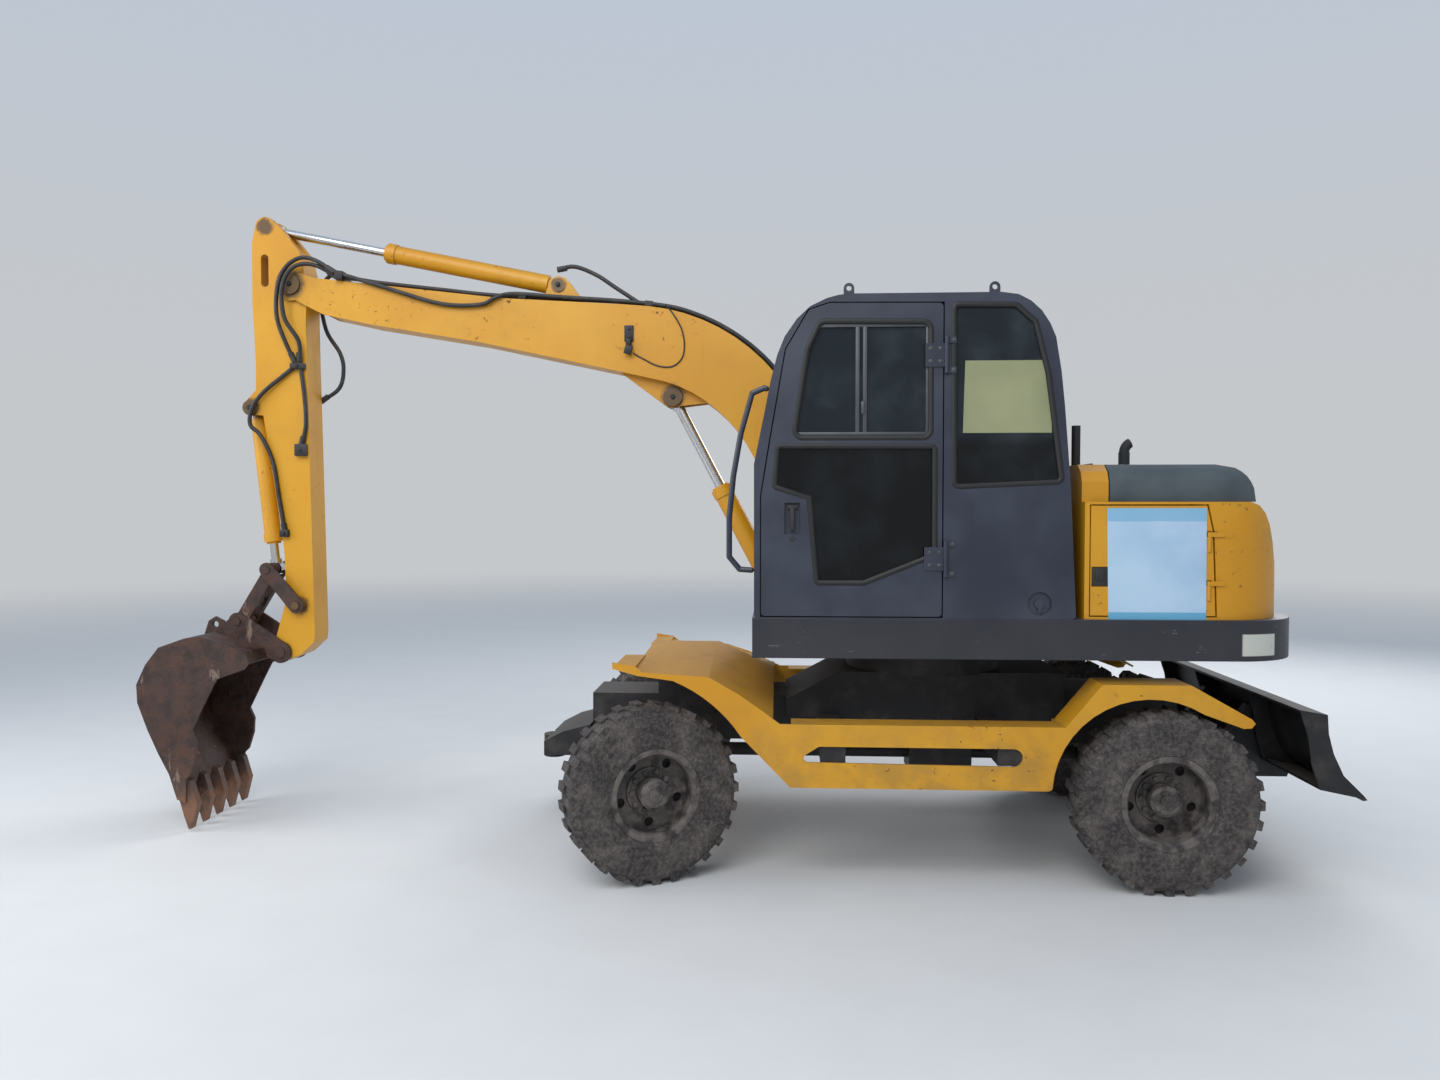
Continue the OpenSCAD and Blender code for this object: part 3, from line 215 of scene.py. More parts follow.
frame_black = finish_named("frame_black", black_look)
wear(("chassis", "front_axle", "rear_axle", "drive_line", "knuckle_left", "knuckle_right", "blade",
      "blade_barrel"), frame_black)
soft_edges({"chassis": 0.005, "front_axle": 0.005, "blade": 0.004})


# Yellow panels: side frames, fenders, engine covers, counterweight, boom, arm and cylinder barrels,
# welded or bent from plate and sprayed one yellow. The paint is chalky in places, stained along the
# lower edges, chipped to rust in small spots and black with old grease round the pins.
def old_grease(p):
    """Where grease has crept out of the pins of the boom and arm, each as (x, z, reach)."""
    pins = ((0.430, 1.480, 0.060), (1.400, 2.450, 0.062), (2.054, 3.088, 0.040), (3.584, 3.097, 0.078),
            (3.838, 2.400, 0.052), (3.738, 3.430, 0.045), (3.566, 1.263, 0.052), (3.669, 0.989, 0.055))
    ragged = p.noise(26, 6, 0.7) * 0.05 - 0.025
    total = 0.0
    for x, z, reach in pins:
        away = p.node("ShaderNodeVectorMath", {"operation": "DISTANCE"},
                      {0: p.scaled((1, 0, 1)), 1: (x, 0, z)}, 1)
        total = total + (1.0 - (away + ragged).band(reach * 0.75, reach * 1.35))
    return total.unit()


def yellow_look(p, facing):
    fade = p.noise(1.3, 3, 0.5).band(0.35, 0.65)
    streak = p.noise(6, 5, 0.6, (1, 1, 0.14)).band(0.56, 0.74)
    grain = p.noise(130, 3)
    grime = p.noise(3.5, 6, 0.7).band(0.5, 0.72)
    chips = (p.noise(30, 6, 0.75).band(0.63, 0.65) * p.noise(1.8, 2).band(0.46, 0.6)).unit()
    specks = p.noise(85, 4, 0.7).band(0.69, 0.72)
    up = facing.along(2).band(0.4, 0.95)
    low = 1.0 - p.along(2).band(0.5, 1.0)
    paint = fade.mix(srgb(193, 134, 6), srgb(202, 146, 24))
    stain = (streak * 0.22 + up * 0.3 + grime * 0.16 + low * 0.4 * p.noise(9, 5).band(0.35, 0.65)).unit()
    worn = (chips + specks * 0.6).unit()
    dirty = (old_grease(p) * 0.85).mix(stain.mix(paint, srgb(124, 98, 56)), srgb(44, 38, 34))
    return {"Base Color": worn.mix(dirty, srgb(84, 56, 40)),
            "Roughness": (grain * 0.15 + 0.36 + worn * 0.4 + stain * 0.3).unit(), "Coat Weight": 0.04,
            "height": grain * 0.6 - worn * 2, "depth": 0.0004}


wear(("side_frame_left", "side_frame_right", "engine_cover", "engine_door", "counterweight", "side_tank",
      "boom", "boom_barrel", "arm", "arm_barrel", "bucket_barrel"), finish_named("yellow_paint", yellow_look))
soft_edges({"side_frame_left": 0.003, "side_frame_right": 0.003, "engine_door": 0.004,
            "counterweight": 0.012, "side_tank": 0.012, "boom": 0.004, "arm": 0.004})


# Grease points of the boom and arm: a small hexagonal nipple on its washer stands in the end of each
# pin. They are plain steel, black with grease.
TO_LEFT = Matrix.Rotation(-math.pi / 2, 4, "X")


def made(name, bm, mat, body, smooth=40):
    """A new piece from a bmesh, in metres of the frame; it rides on the body, where one is named."""
    mesh = bpy.data.meshes.new(name)
    bmesh.ops.recalc_face_normals(bm, faces=bm.faces)
    bm.to_mesh(mesh)
    bm.free()
    for face in mesh.polygons:
        face.use_smooth = True
    mesh.set_sharp_from_angle(angle=math.radians(smooth))
    mesh.materials.append(mat)
    o = bpy.data.objects.new(name, mesh)
    scene.collection.objects.link(o)
    if body:
        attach(o, body)
    return o


def hexagon(bm, at, radius, height):
    """A bolt head on a washer, standing out to the left, with a chamfered top."""
    # rings as low radius, high radius, start, height and number of sides, in shares of the size
    rings = ((1.35, 1.35, 0.0, 0.22, 16), (1.0, 1.0, 0.22, 0.6, 6), (1.0, 0.8, 0.82, 0.18, 6))
    for low, high, start, tall, sides in rings:
        middle = Matrix.Translation((0, 0, height * (start + tall / 2)))
        bmesh.ops.create_cone(bm, cap_ends=True, segments=sides, radius1=radius * low,
                              radius2=radius * high, depth=height * tall,
                              matrix=Matrix.Translation(at) @ TO_LEFT @ middle)


def nipples(name, body, radius, places):
    """The nipples of one body, each standing 12 mm out of its pin."""
    bm = bmesh.new()
    for at in places:
        hexagon(bm, at, radius, 0.012)
    made(name, bm, frame_black, body)


nipples("boom_grease_points", "boom", 0.011,
        ((0.430, 0.070, 1.480), (1.400, 0.024, 2.450), (2.054, 0.009, 3.088)))
nipples("arm_grease_points", "arm", 0.012,
        ((3.584, 0.071, 3.097), (3.838, 0.046, 2.400), (3.738, 0.011, 3.430)))


# Brake drums: cast iron drums bolted behind the wheel discs, which show dark through the hand holes.
# They turn with the wheels.
def lathe(bm, profile, centre, axis, sides=48):
    """Turns a closed profile of (radius, way along the axis) round an axis through the centre."""
    turn = Matrix.Translation(centre) @ Vector(axis).to_track_quat("Z", "Y").to_matrix().to_4x4()
    rings = []
    for k in range(sides):
        angle = 2 * math.pi * k / sides
        rings.append([bm.verts.new(turn @ Vector((r * math.cos(angle), r * math.sin(angle), h)))
                      for r, h in profile])
    for low, high in zip(rings, rings[1:] + rings[:1]):
        for k in range(len(profile)):
            bm.faces.new((low[k], low[k - 1], high[k - 1], high[k]))


def brake_drum(name, body, centre, axis, face):
    """A drum whose outer side lies at face along the axle, measured from the wheel's middle."""
    hub, step, rim, radius, deep = 0.080, 0.150, 0.180, 0.185, 0.026
    bm = bmesh.new()
    lathe(bm, ((hub, face), (step, face), (0.157, face - 0.004), (rim, face - 0.004),
               (radius, face - 0.009), (radius, face - 0.022), (rim, face - deep), (hub, face - deep)),
          centre, axis)
    made(name, bm, frame_black, body)


steer = math.radians(26)
king_to_wheel = 0.115
for side, sign in (("left", 1), ("right", -1)):
    out = Vector((-sign * math.sin(steer), sign * math.cos(steer), 0))
    kingpin = Vector((1.485, sign * 0.760, 0.435))
    brake_drum(f"front_brake_drum_{side}", f"front_wheel_{side}", kingpin + out * king_to_wheel, out, -0.030)
    brake_drum(f"rear_brake_drum_{side}", f"rear_wheel_{side}", (-1.035, sign * 0.875, 0.435),
               (0, sign, 0), -0.062)


# Cab and deck: sheet steel in dark slate paint with a light film of dust, thicker low on the skirt,
# where stones and posts have left pale scuffs. The tail's corner has a bare, pale patch.
def slate_look(p, facing):
    x, y, z = (p.along(axis) for axis in range(3))
    film = p.noise(3, 4).band(0.3, 0.75)
    low = 1.0 - z.band(1.12, 1.5)
    tail = 1.0 - x.band(-1.25, -0.6)
    skirt = 1.0 - z.band(1.29, 1.31)
    stones = p.noise(24, 7, 0.85, (0.3, 1, 1.7)).band(0.63, 0.68)
    scuff = (stones * (low * 0.5 + tail * 0.6) * skirt).unit()
    across = x.band(-1.535, -1.53) * (1.0 - x.band(-1.37, -1.36))
    upward = z.band(1.13, 1.135) * (1.0 - z.band(1.232, 1.237))
    torn = p.noise(28, 5, 0.7).band(0.24, 0.34)
    patch = (across * upward * y.band(0.5, 0.6) * torn).unit()
    up = facing.along(2).band(0.4, 0.95)
    paint = film.mix(srgb(35, 40, 54), srgb(47, 53, 69))
    dark = skirt.mix(paint, srgb(30, 32, 40))
    dusty = (up * 0.35 + low * 0.08 + film * 0.05).unit().mix(dark, srgb(92, 90, 90))
    return {"Base Color": patch.mix(scuff.mix(dusty, srgb(150, 146, 138)), srgb(186, 188, 178)),
            "Roughness": film * 0.15 + 0.34 + scuff * 0.3, "height": p.noise(150, 2), "depth": 0.0003}


wear(("deck", "cab", "cab_door", "grab_handle"), finish_named("slate_paint", slate_look))
soft_edges({"deck": 0.010, "cab": 0.006, "cab_door": 0.005})


# Engine hood: one pressed steel lid in blue-grey paint, matt from the sun. It rests on the covers
# and lifts on two pin hinges along its front edge.
def hood_look(p, facing):
    sun = p.noise(4, 4).band(0.3, 0.7)
    return {"Base Color": sun.mix(srgb(52, 62, 68), srgb(72, 82, 86)), "Roughness": sun * 0.2 + 0.5,
            "height": p.noise(120, 2), "depth": 0.0003}


wear(("hood",), finish_named("hood_grey", hood_look))
soft_edges({"hood": 0.012})


# Windows: toughened glass set in the openings, tinted and a little dusty. The lower panes are painted
# near black as the shade inside the cab; the upper ones carry a painted reflection of the sky.
def glass_look(p, facing):
    dust = p.noise(5, 4).band(0.4, 0.8)
    # painted shade: below this height the panes are darker and less clear, standing for the dark inside the
    # cab
    dark = 1.0 - p.along(2).band(2.11, 2.20)
    dusty = dust * (1.0 - dark * 0.8)
    # painted light: the upper panes' blue-grey stands for reflected sky, the lower panes' near black for
    # shade
    base_tone = dark.mix(srgb(28, 36, 42), srgb(8, 10, 13))
    return {"Base Color": dusty.mix(base_tone, srgb(52, 60, 64)), "Alpha": dust * 0.06 + 0.82 + dark * 0.1,
            "Roughness": dust * 0.1 + 0.05, "IOR": 1.36}


wear(("cab_glass", "door_glass"), finish_named("window_glass", glass_look))


# Piston rods: ground steel bar with hard chrome, bright where the seal of the barrel wipes it. The
# steering rod between the knuckles is one of them.
def chrome_look(p, facing):
    smear = p.noise(11, 3).band(0.4, 0.8)
    return {"Base Color": smear.mix(srgb(214, 215, 216), srgb(196, 192, 186)), "Metallic": 1.0,
            "Roughness": smear * 0.12 + 0.16}


wear(("boom_rod", "arm_rod", "blade_rod", "steering_rod", "bucket_rod"),
     finish_named("chrome_rod", chrome_look))


# Bucket and its link gear: welded plate without paint, brown with damp soil, scraped to paler metal
# on the corners and rusty on the teeth.
def bucket_look(p, facing):
    soil = p.noise(10, 6, 0.65).band(0.35, 0.65)
    scrape = p.noise(7, 6, 0.7, (1, 1, 0.3)).band(0.6, 0.66)
    fine = p.noise(90, 5)
    low = 1.0 - p.along(2).band(0.05, 0.5)
    rust = (p.noise(13, 5, 0.7).band(0.5, 0.6) * (low * 0.5 + 0.35)).unit()
    tips = (1.0 - p.along(2).band(0.14, 0.27)) * p.noise(20, 4).band(0.25, 0.6)
    ground = rust.mix(soil.mix(srgb(42, 27, 22), srgb(70, 49, 41)), srgb(90, 52, 34))
    worn = (scrape * 0.8 + low * 0.2).unit().mix(ground, srgb(136, 116, 102))
    return {"Base Color": (tips * 0.7).mix(worn, srgb(134, 92, 66)), "Roughness": soil * 0.3 + 0.5,
            "Metallic": scrape * 0.3, "height": fine + soil, "depth": 0.002}


wear(("bucket", "rocker", "link"), finish_named("bucket_steel", bucket_look))
soft_edges({"bucket": 0.003, "rocker": 0.003, "link": 0.003})


# Small dark pieces: the intake pipe, the exhaust stack and the driver's levers, pedals and wheel, in
# black plastic or blackened steel.
def plastic_look(p, facing):
    fine = p.noise(80, 4)
    return {"Base Color": fine.mix(srgb(24, 24, 26), srgb(48, 46, 46)), "Roughness": fine * 0.2 + 0.55,
            "height": fine, "depth": 0.0005}


black_plastic = finish_named("black_plastic", plastic_look)
wear(("air_intake", "exhaust", "controls"), black_plastic)


# Engine: a grey cast iron block behind the cab, bolted to the deck. It is oily in patches and shows
# only through the open covers.
def iron_look(p, facing):
    oil = p.noise(12, 5).band(0.4, 0.7)
    return {"Base Color": oil.mix(srgb(90, 92, 94), srgb(40, 38, 36)), "Roughness": 0.6 - oil * 0.2,
            "Metallic": 0.4, "height": p.noise(60, 4), "depth": 0.001}


wear(("engine",), finish_named("engine_iron", iron_look))


# Hoses: high-pressure rubber hoses that run up the boom's back and over the elbow down the arm, cut
# to length with a crimped steel fitting at each end. They are dull with dust and sag between clamps.
def hose_look(p, facing):
    dust = (facing.along(2).band(0.1, 0.9) * 0.35 + p.noise(16, 5).band(0.45, 0.7) * 0.3).unit()
    wrap = p.noise(140, 3)
    rubber = wrap.mix(srgb(20, 20, 22), srgb(36, 35, 36))
    return {"Base Color": dust.mix(rubber, srgb(92, 84, 76)), "Roughness": dust * 0.3 + 0.5,
            "height": wrap, "depth": 0.0006}


def sweep(bm, path, radius, sides=12):
    """A round tube along a smooth curve through the path's points."""
    most_steps, step = 6, 0.02
    pts = [Vector(p) for p in path]
    ends = [pts[0] * 2 - pts[1]] + pts + [pts[-1] * 2 - pts[-2]]
    line = []
    for a, b, c, d in zip(ends, ends[1:], ends[2:], ends[3:]):
        n = max(1, min(most_steps, int((c - b).length / step)))
        for t in (k / n for k in range(n)):
            line.append(0.5 * (2 * b + (c - a) * t + (2 * a - 5 * b + 4 * c - d) * t * t
                               + (3 * b - a - 3 * c + d) * t ** 3))
    line.append(pts[-1])
    angles = [2 * math.pi * k / sides for k in range(sides)]
    side, rings = None, []
    for i, q in enumerate(line):
        way = (line[min(i + 1, len(line) - 1)] - line[max(i - 1, 0)]).normalized()
        if side is None:
            side = way.cross(Vector((0.3, 1, 0.2))).normalized()
        side = (side - way * side.dot(way)).normalized()
        up = way.cross(side)
        rings.append([bm.verts.new(q + radius * (math.cos(a) * side + math.sin(a) * up)) for a in angles])
    for low, high in zip(rings, rings[1:]):
        for k in range(sides):
            after = (k + 1) % sides
            bm.faces.new((low[k], low[after], high[after], high[k]))
    for ring in (rings[0], rings[-1]):
        bm.faces.new(ring)


def block(bm, centre, size, lean=0.0, edge=0.003):
    """A box with rounded edges, leaned about the side axis."""
    turn = Matrix.Translation(centre) @ Matrix.Rotation(-lean, 4, "Y") @ Matrix.Diagonal((*size, 1))
    new = set(bmesh.ops.create_cube(bm, size=1, matrix=turn)["verts"])
    edges = [e for e in bm.edges if e.verts[0] in new]
    bmesh.ops.bevel(bm, geom=edges, offset=min(edge, min(size) * 0.4), segments=2, affect="EDGES",
                    profile=0.5)


def hoses(name, routes, body, fittings=(0, -1)):
    """A bundle of hoses; fittings says which ends of each show their crimped steel end."""
    radius, crimp_radius, crimp_middle, crimp_end = 0.012, 0.0165, 0.020, 0.055
    bm = bmesh.new()
    for route in routes:
        sweep(bm, route, radius)
        for end in fittings:
            a, b = Vector(route[end]), Vector(route[1 if end == 0 else -2])
            way = (b - a).normalized()
            sweep(bm, [a, a + way * crimp_middle, a + way * crimp_end], crimp_radius, 10)
    return made(name, bm, hose_rubber, body, 50)


def on_boom(y, stop):
    """Route of a hose on the boom's back and top, as far forward as stop."""
    knee_x, knee_z, knee_r = 1.645, 1.889, 1.087
    turns = [math.radians(a) for a in range(142, 95, -8)]
    back = [(0.473, y, 1.862), (0.600, y, 2.168), (0.720, y, 2.458)]
    knee = [(knee_x + knee_r * math.cos(a), y, knee_z + knee_r * math.sin(a)) for a in turns]
    top = [(1.680, y, 2.984), (2.370, y, 3.026), (2.717, y, 3.064), (3.060, y, 3.105)]
    return back + knee + [q for q in top if q[0] <= stop]


hose_rubber = finish_named("hose_rubber", hose_look)
boom_bundle = hoses("boom_hose_run", [
    on_boom(0.014, 3.06) + [(3.200, 0.050, 3.122), (3.290, 0.050, 3.133)],
    on_boom(-0.136, 3.06) + [(3.200, -0.170, 3.122), (3.290, -0.170, 3.133)],
    on_boom(0.041, 1.68) + [(2.027, 0.041, 3.010), (2.290, 0.050, 3.030), (2.390, 0.078, 3.006),
                            (2.482, 0.078, 2.966), (2.710, 0.078, 2.974), (3.025, 0.078, 3.068),
                            (3.290, 0.078, 3.150)]], "boom", (0,))
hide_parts("boom_hoses")
hoses("arm_cylinder_loop", [[(2.060, -0.014, 3.175), (1.960, -0.008, 3.190), (1.835, 0, 3.140),
                             (1.729, 0.004, 3.070), (1.590, 0.014, 2.978)]], "boom", (0,))

# the elbow bundle starts at the boom's tip and ends on the arm; it rides on no body and keeps its built shape
elbow = hoses("elbow_hose_bundle", [
    [(3.315, 0.078, 3.156), (3.420, 0.080, 3.222), (3.500, 0.086, 3.240), (3.575, 0.088, 3.205),
     (3.630, 0.088, 3.130), (3.652, 0.088, 3.010), (3.648, 0.084, 2.889), (3.606, 0.072, 2.760),
     (3.562, 0.055, 2.655)],
    [(3.315, 0.050, 3.137), (3.420, 0.060, 3.196), (3.494, 0.078, 3.206), (3.552, 0.100, 3.180),
     (3.596, 0.110, 3.110), (3.612, 0.110, 3.010), (3.596, 0.100, 2.889), (3.530, 0.076, 2.770),
     (3.536, 0.054, 2.655)],
    [(3.315, -0.171, 3.137), (3.440, -0.192, 3.200), (3.520, -0.206, 3.100), (3.486, -0.196, 2.880),
     (3.400, -0.188, 2.740), (3.378, -0.186, 2.640), (3.404, -0.182, 2.530), (3.512, -0.173, 2.450)]], None)
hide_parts("elbow_hoses")
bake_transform(elbow)

arm_side = 0.035
flush = arm_side + 0.0134
lower = hoses("arm_hose_run", [
    [(3.560, flush, 2.636), (3.643, arm_side + 0.018, 2.571), (3.740, arm_side + 0.027, 2.490),
     (3.812, arm_side + 0.028, 2.400), (3.826, arm_side + 0.028, 2.300), (3.770, arm_side + 0.020, 2.240),
     (3.704, flush, 2.092), (3.668, flush, 1.874), (3.636, flush, 1.680)],
    [(3.534, flush, 2.636), (3.512, flush, 2.456), (3.506, flush, 2.300), (3.534, flush, 2.180)]],
    "arm", (-1,))
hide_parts("arm_hoses")


# Hose clamps: folded steel straps over rubber, bolted to welded studs on the boom's top and the
# arm's side, and solid blocks where hoses end. They are painted black.
strap_size, bolt_size = (0.046, 0.200, 0.030), (0.018, 0.018, 0.010)
strap_middle, bolt_rise = -0.0475, 0.016
straps = bmesh.new()
for x, z, slope in ((0.559, 2.071, 67.5), (1.531, 2.970, 6), (2.250, 3.019, 3.5)):
    lean = math.radians(slope)
    out = Vector((-math.sin(lean), 0, math.cos(lean)))
    block(straps, Vector((x, strap_middle, z)) - out * 0.001, strap_size, lean)
    for y in (-0.09, -0.03):
        block(straps, Vector((x, y, z)) + out * bolt_rise, bolt_size, lean, 0.002)
tip_lean = math.radians(6.8)
block(straps, (3.290, 0.066, 3.139), (0.048, 0.056, 0.050), tip_lean)
block(straps, (3.290, -0.171, 3.129), (0.048, 0.030, 0.034), tip_lean)
made("boom_hose_clamps", straps, frame_black, "boom")
block_depth = 0.032
blocks = bmesh.new()
for x, z, long, tall in ((3.548, 2.633, 0.084, 0.034), (3.535, 2.155, 0.068, 0.068),
                         (3.638, 1.677, 0.050, 0.042)):
    block(blocks, (x, arm_side + 0.0165, z), (long, block_depth, tall), 0, 0.004)
    hexagon(blocks, (x, arm_side + block_depth, z), 0.009, 0.008)
block(blocks, (3.534, -0.1705, 2.446), (0.050, 0.029, 0.050), 0, 0.004)
made("arm_hose_blocks", blocks, frame_black, "arm")


# Work lamp bracket on the boom's side: a bent steel strap that has lost its lamp, with the lamp's
# loose wire looping over the yellow plate. Both are black.
bracket_x = 1.642
strap = bmesh.new()
block(strap, (bracket_x, 0.062, 2.800), (0.052, 0.006, 0.090), 0, 0.002)
block(strap, (bracket_x, 0.078, 2.748), (0.030, 0.034, 0.040), 0, 0.006)
block(strap, (bracket_x, 0.090, 2.705), (0.044, 0.010, 0.050), 0.3, 0.003)
for z in (2.780, 2.825):
    hexagon(strap, (bracket_x, 0.065, z), 0.008, 0.006)
made("lamp_bracket", strap, frame_black, "boom")
wire = bmesh.new()
sweep(wire, [(1.620, 0.064, 2.690), (1.567, 0.063, 2.660), (1.480, 0.062, 2.618), (1.399, 0.062, 2.615),
             (1.345, 0.062, 2.660), (1.331, 0.062, 2.740), (1.350, 0.062, 2.830), (1.400, 0.062, 2.915),
             (1.437, 0.060, 2.962)], 0.004, 8)
made("lamp_wire", wire, hose_rubber, "boom")


# Window seals: black rubber profiles pressed over the edges of the openings; they hold the glass and
# stand a few millimetres proud of the paint.
def seal_look(p, facing):
    fine = p.noise(60, 4)
    return {"Base Color": fine.mix(srgb(14, 14, 15), srgb(27, 27, 28)), "Roughness": fine * 0.2 + 0.45,
            "height": fine, "depth": 0.0004}


def pane_outlines(node, sign):
    """The outlines of a node's outermost side faces, longest first; sign 1 is the left side."""
    facing_out, same_level = 0.99, 0.0004
    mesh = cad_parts[node].data
    level = max(sign * v.co.y for v in mesh.vertices)
    points, number = {}, {}
    # vertices at one spot count as one
    for v in mesh.vertices:
        spot = tuple(round(c, 5) for c in v.co)
        number[v.index] = points.setdefault(spot, len(points))
    where = {n: Vector(spot) for spot, n in points.items()}
    ways = {}
    for f in mesh.polygons:
        if sign * f.normal.y > facing_out and abs(sign * f.center.y - level) < same_level:
            ring = [number[i] for i in f.vertices]
            ways.update(dict.fromkeys(zip(ring, ring[1:] + ring[:1])))
    # an edge that only one of those faces has lies on an outline
    after = {a: b for a, b in ways if (b, a) not in ways}
    found = []
    while after:
        start = next(iter(after))
        loop, at = [start], after.pop(start)
        while at in after:
            loop.append(at)
            at = after.pop(at)
        found.append([where[n] for n in loop])
    return sorted(found, key=lambda q: -sum((a - b).length for a, b in zip(q, q[1:] + q[:1])))


def seal(name, outline, sign, face, body):
    """A rubber strip along an opening, in the plate's face; its section is (way out, height)."""
    shortest = 0.004
    lap, lip, proud, depth = 0.012, 0.014, 0.004, 0.020
    section = ((lap, 0.0), (lap * 0.8, proud * 0.8), (0.0, proud), (-lip * 0.7, proud * 0.7),
               (-lip, -0.002), (-lip, -depth))
    corners = [outline[0]]
    for q in outline[1:]:
        if (q - corners[-1]).length > shortest:
            corners.append(q)
    follow = corners[1:] + corners[:1]
    area = sum(q.x * r.z - r.x * q.z for q, r in zip(corners, follow))
    outward = 1 if area > 0 else -1
    bm = bmesh.new()
    rings = []
    for last, q, following in zip(corners[-1:] + corners[:-1], corners, follow):
        before, after = (q - last).normalized(), (following - q).normalized()
        out = Vector((before.z + after.z, 0, -before.x - after.x)).normalized() * outward
        # a corner's point moves out further, so the strip keeps its width round the corner
        mitre = 1 / max(0.5, out.dot(Vector((after.z, 0, -after.x)) * outward))
        rings.append([])
        for way, height in section:
            at = q + out * way * mitre
            rings[-1].append(bm.verts.new((at.x, face + sign * height, at.z)))
    for low, high in zip(rings, rings[1:] + rings[:1]):
        for a, b, c, d in zip(low, low[1:], high[1:], high):
            bm.faces.new((a, b, c, d))
    made(name, bm, window_rubber, body, 60)


window_rubber = finish_named("window_rubber", seal_look)
door_face, left_face, right_face = 0.954, 0.950, 0.105
door_panes = pane_outlines("door_glass", 1)
seal("door_upper_seal", door_panes[0], 1, door_face, "cab_door")
seal("door_lower_seal", door_panes[1], 1, door_face, "cab_door")
seal("rear_side_seal", pane_outlines("cab_glass", 1)[0], 1, left_face, "upper")
seal("right_side_seal", pane_outlines("cab_glass", -1)[0], -1, right_face, "upper")


# Sliding pane of the door's upper window: a grey aluminium frame in two parts with a finger catch,
# set behind the rubber.
def alloy_look(p, facing):
    dull = p.noise(20, 4)
    return {"Base Color": dull.mix(srgb(60, 63, 66), srgb(92, 95, 97)), "Metallic": 0.5,
            "Roughness": dull * 0.2 + 0.4}


alloy = finish_named("window_alloy", alloy_look)
bar = 0.020
frames = bmesh.new()
for x0, x1, z in ((0.095, 0.720, 2.176), (0.095, 0.610, 2.690)):
    block(frames, ((x0 + x1) / 2, 0.941, z), (x1 - x0, 0.012, bar), 0, 0.003)
for x in (0.100, 0.395, 0.430):
    block(frames, (x, 0.942, 2.433), (bar, 0.010, 0.500), 0, 0.003)
block(frames, (0.405, 0.950, 2.300), (0.016, 0.010, 0.060), 0, 0.003)
made("door_sliding_frame", frames, alloy, "cab_door")


# Door furniture: a pull handle in its recess and a key lock of black plastic, and zinc-plated bolts
# that hold the two hinges to the door and to the post behind it.
def lock_barrel(bm, at, radius, tall):
    """A round key barrel that tapers a little to its outer end."""
    bmesh.ops.create_cone(bm, cap_ends=True, segments=20, radius1=radius, radius2=radius - 0.002,
                          depth=tall, matrix=Matrix.Translation(at) @ TO_LEFT)


handle_x = 0.737
handle = bmesh.new()
block(handle, (handle_x, 0.952, 1.775), (0.022, 0.016, 0.110), 0, 0.005)
block(handle, (handle_x, 0.944, 1.830), (0.050, 0.012, 0.020), 0, 0.004)
lock_barrel(handle, (handle_x, 0.956, 1.680), 0.012, 0.008)
made("door_handle", handle, black_plastic, "cab_door")
# each hinge's bolts as name, body, face of the plate, columns, and rises above the hinge's foot
for name, body, y, columns, rises in (
        ("door_hinge_bolts", "cab_door", 0.961, (0.045, 0.090), (0.025, 0.085)),
        ("post_hinge_bolts", "upper", 0.958, (-0.018,), (-0.015, 0.125))):
    bolts = bmesh.new()
    for foot in (1.530, 2.490):
        for x in columns:
            for rise in rises:
                hexagon(bolts, (x, y, foot + rise), 0.008, 0.006)
    made(name, bolts, alloy, body)


# Blank sheets: a pale blue plastic sheet with darker strips along its head and foot, stuck flat on
# the engine door, and a faded film stuck on the glass of the rear side window.
def sheet_look(p, facing):
    foot = 1.0 - p.along(2).band(1.333, 1.336)
    head = p.along(2).band(1.760, 1.766)
    across = p.along(0).band(-1.24, -0.74)
    base_tone = across.mix(srgb(146, 178, 206), srgb(162, 192, 214))
    pale = (p.noise(4, 3).band(0.3, 0.75) * 0.6).mix(base_tone, srgb(184, 206, 224))
    return {"Base Color": (foot * 0.9 + head * 0.55).unit().mix(pale, srgb(84, 156, 190)),
            "Roughness": 0.42, "height": p.noise(5, 3), "depth": 0.002}


def film_look(p, facing):
    fade = p.noise(3, 3).band(0.25, 0.75)
    return {"Base Color": fade.mix(srgb(130, 134, 98), srgb(144, 147, 110)), "Roughness": 0.5,
            "height": p.noise(7, 3), "depth": 0.003}


def leaf(name, corners, y, mat, body):
    """A thin sheet between four corners given as (x, z), lightly wavy, with an edge of its own."""
    columns, rise, thickness = 12, 0.0015, 0.0004
    bm = bmesh.new()
    a, b, c, d = (Vector((x, 0, z)) for x, z in corners)
    grid = []
    for i in range(columns + 1):
        top, foot = a.lerp(b, i / columns), d.lerp(c, i / columns)
        grid.append([])
        for k in range(columns + 1):
            q = top.lerp(foot, k / columns)
            wave = math.sin(5.1 * i / columns + 1.3) * math.cos(4.3 * k / columns)
            grid[-1].append(bm.verts.new((q.x, y + rise * (0.5 + 0.5 * wave), q.z)))
    for low, high in zip(grid, grid[1:]):
        for corner in zip(low, low[1:], high[1:], high):
            bm.faces.new(corner)
    border = bmesh.ops.extrude_edge_only(bm, edges=[e for e in bm.edges if e.is_boundary])["geom"]
    for v in border:
        if isinstance(v, bmesh.types.BMVert):
            v.co.y = y - thickness
    made(name, bm, mat, body, 60)


leaf("engine_door_sheet", ((-0.742, 1.826), (-1.200, 1.826), (-1.203, 1.298), (-0.752, 1.298)), 0.9306,
     finish_named("blue_sheet", sheet_look), "engine_door")
leaf("rear_window_film", ((-0.075, 2.520), (-0.470, 2.520), (-0.480, 2.180), (-0.066, 2.180)), 0.9385,
     finish_named("pale_film", film_look), "upper")


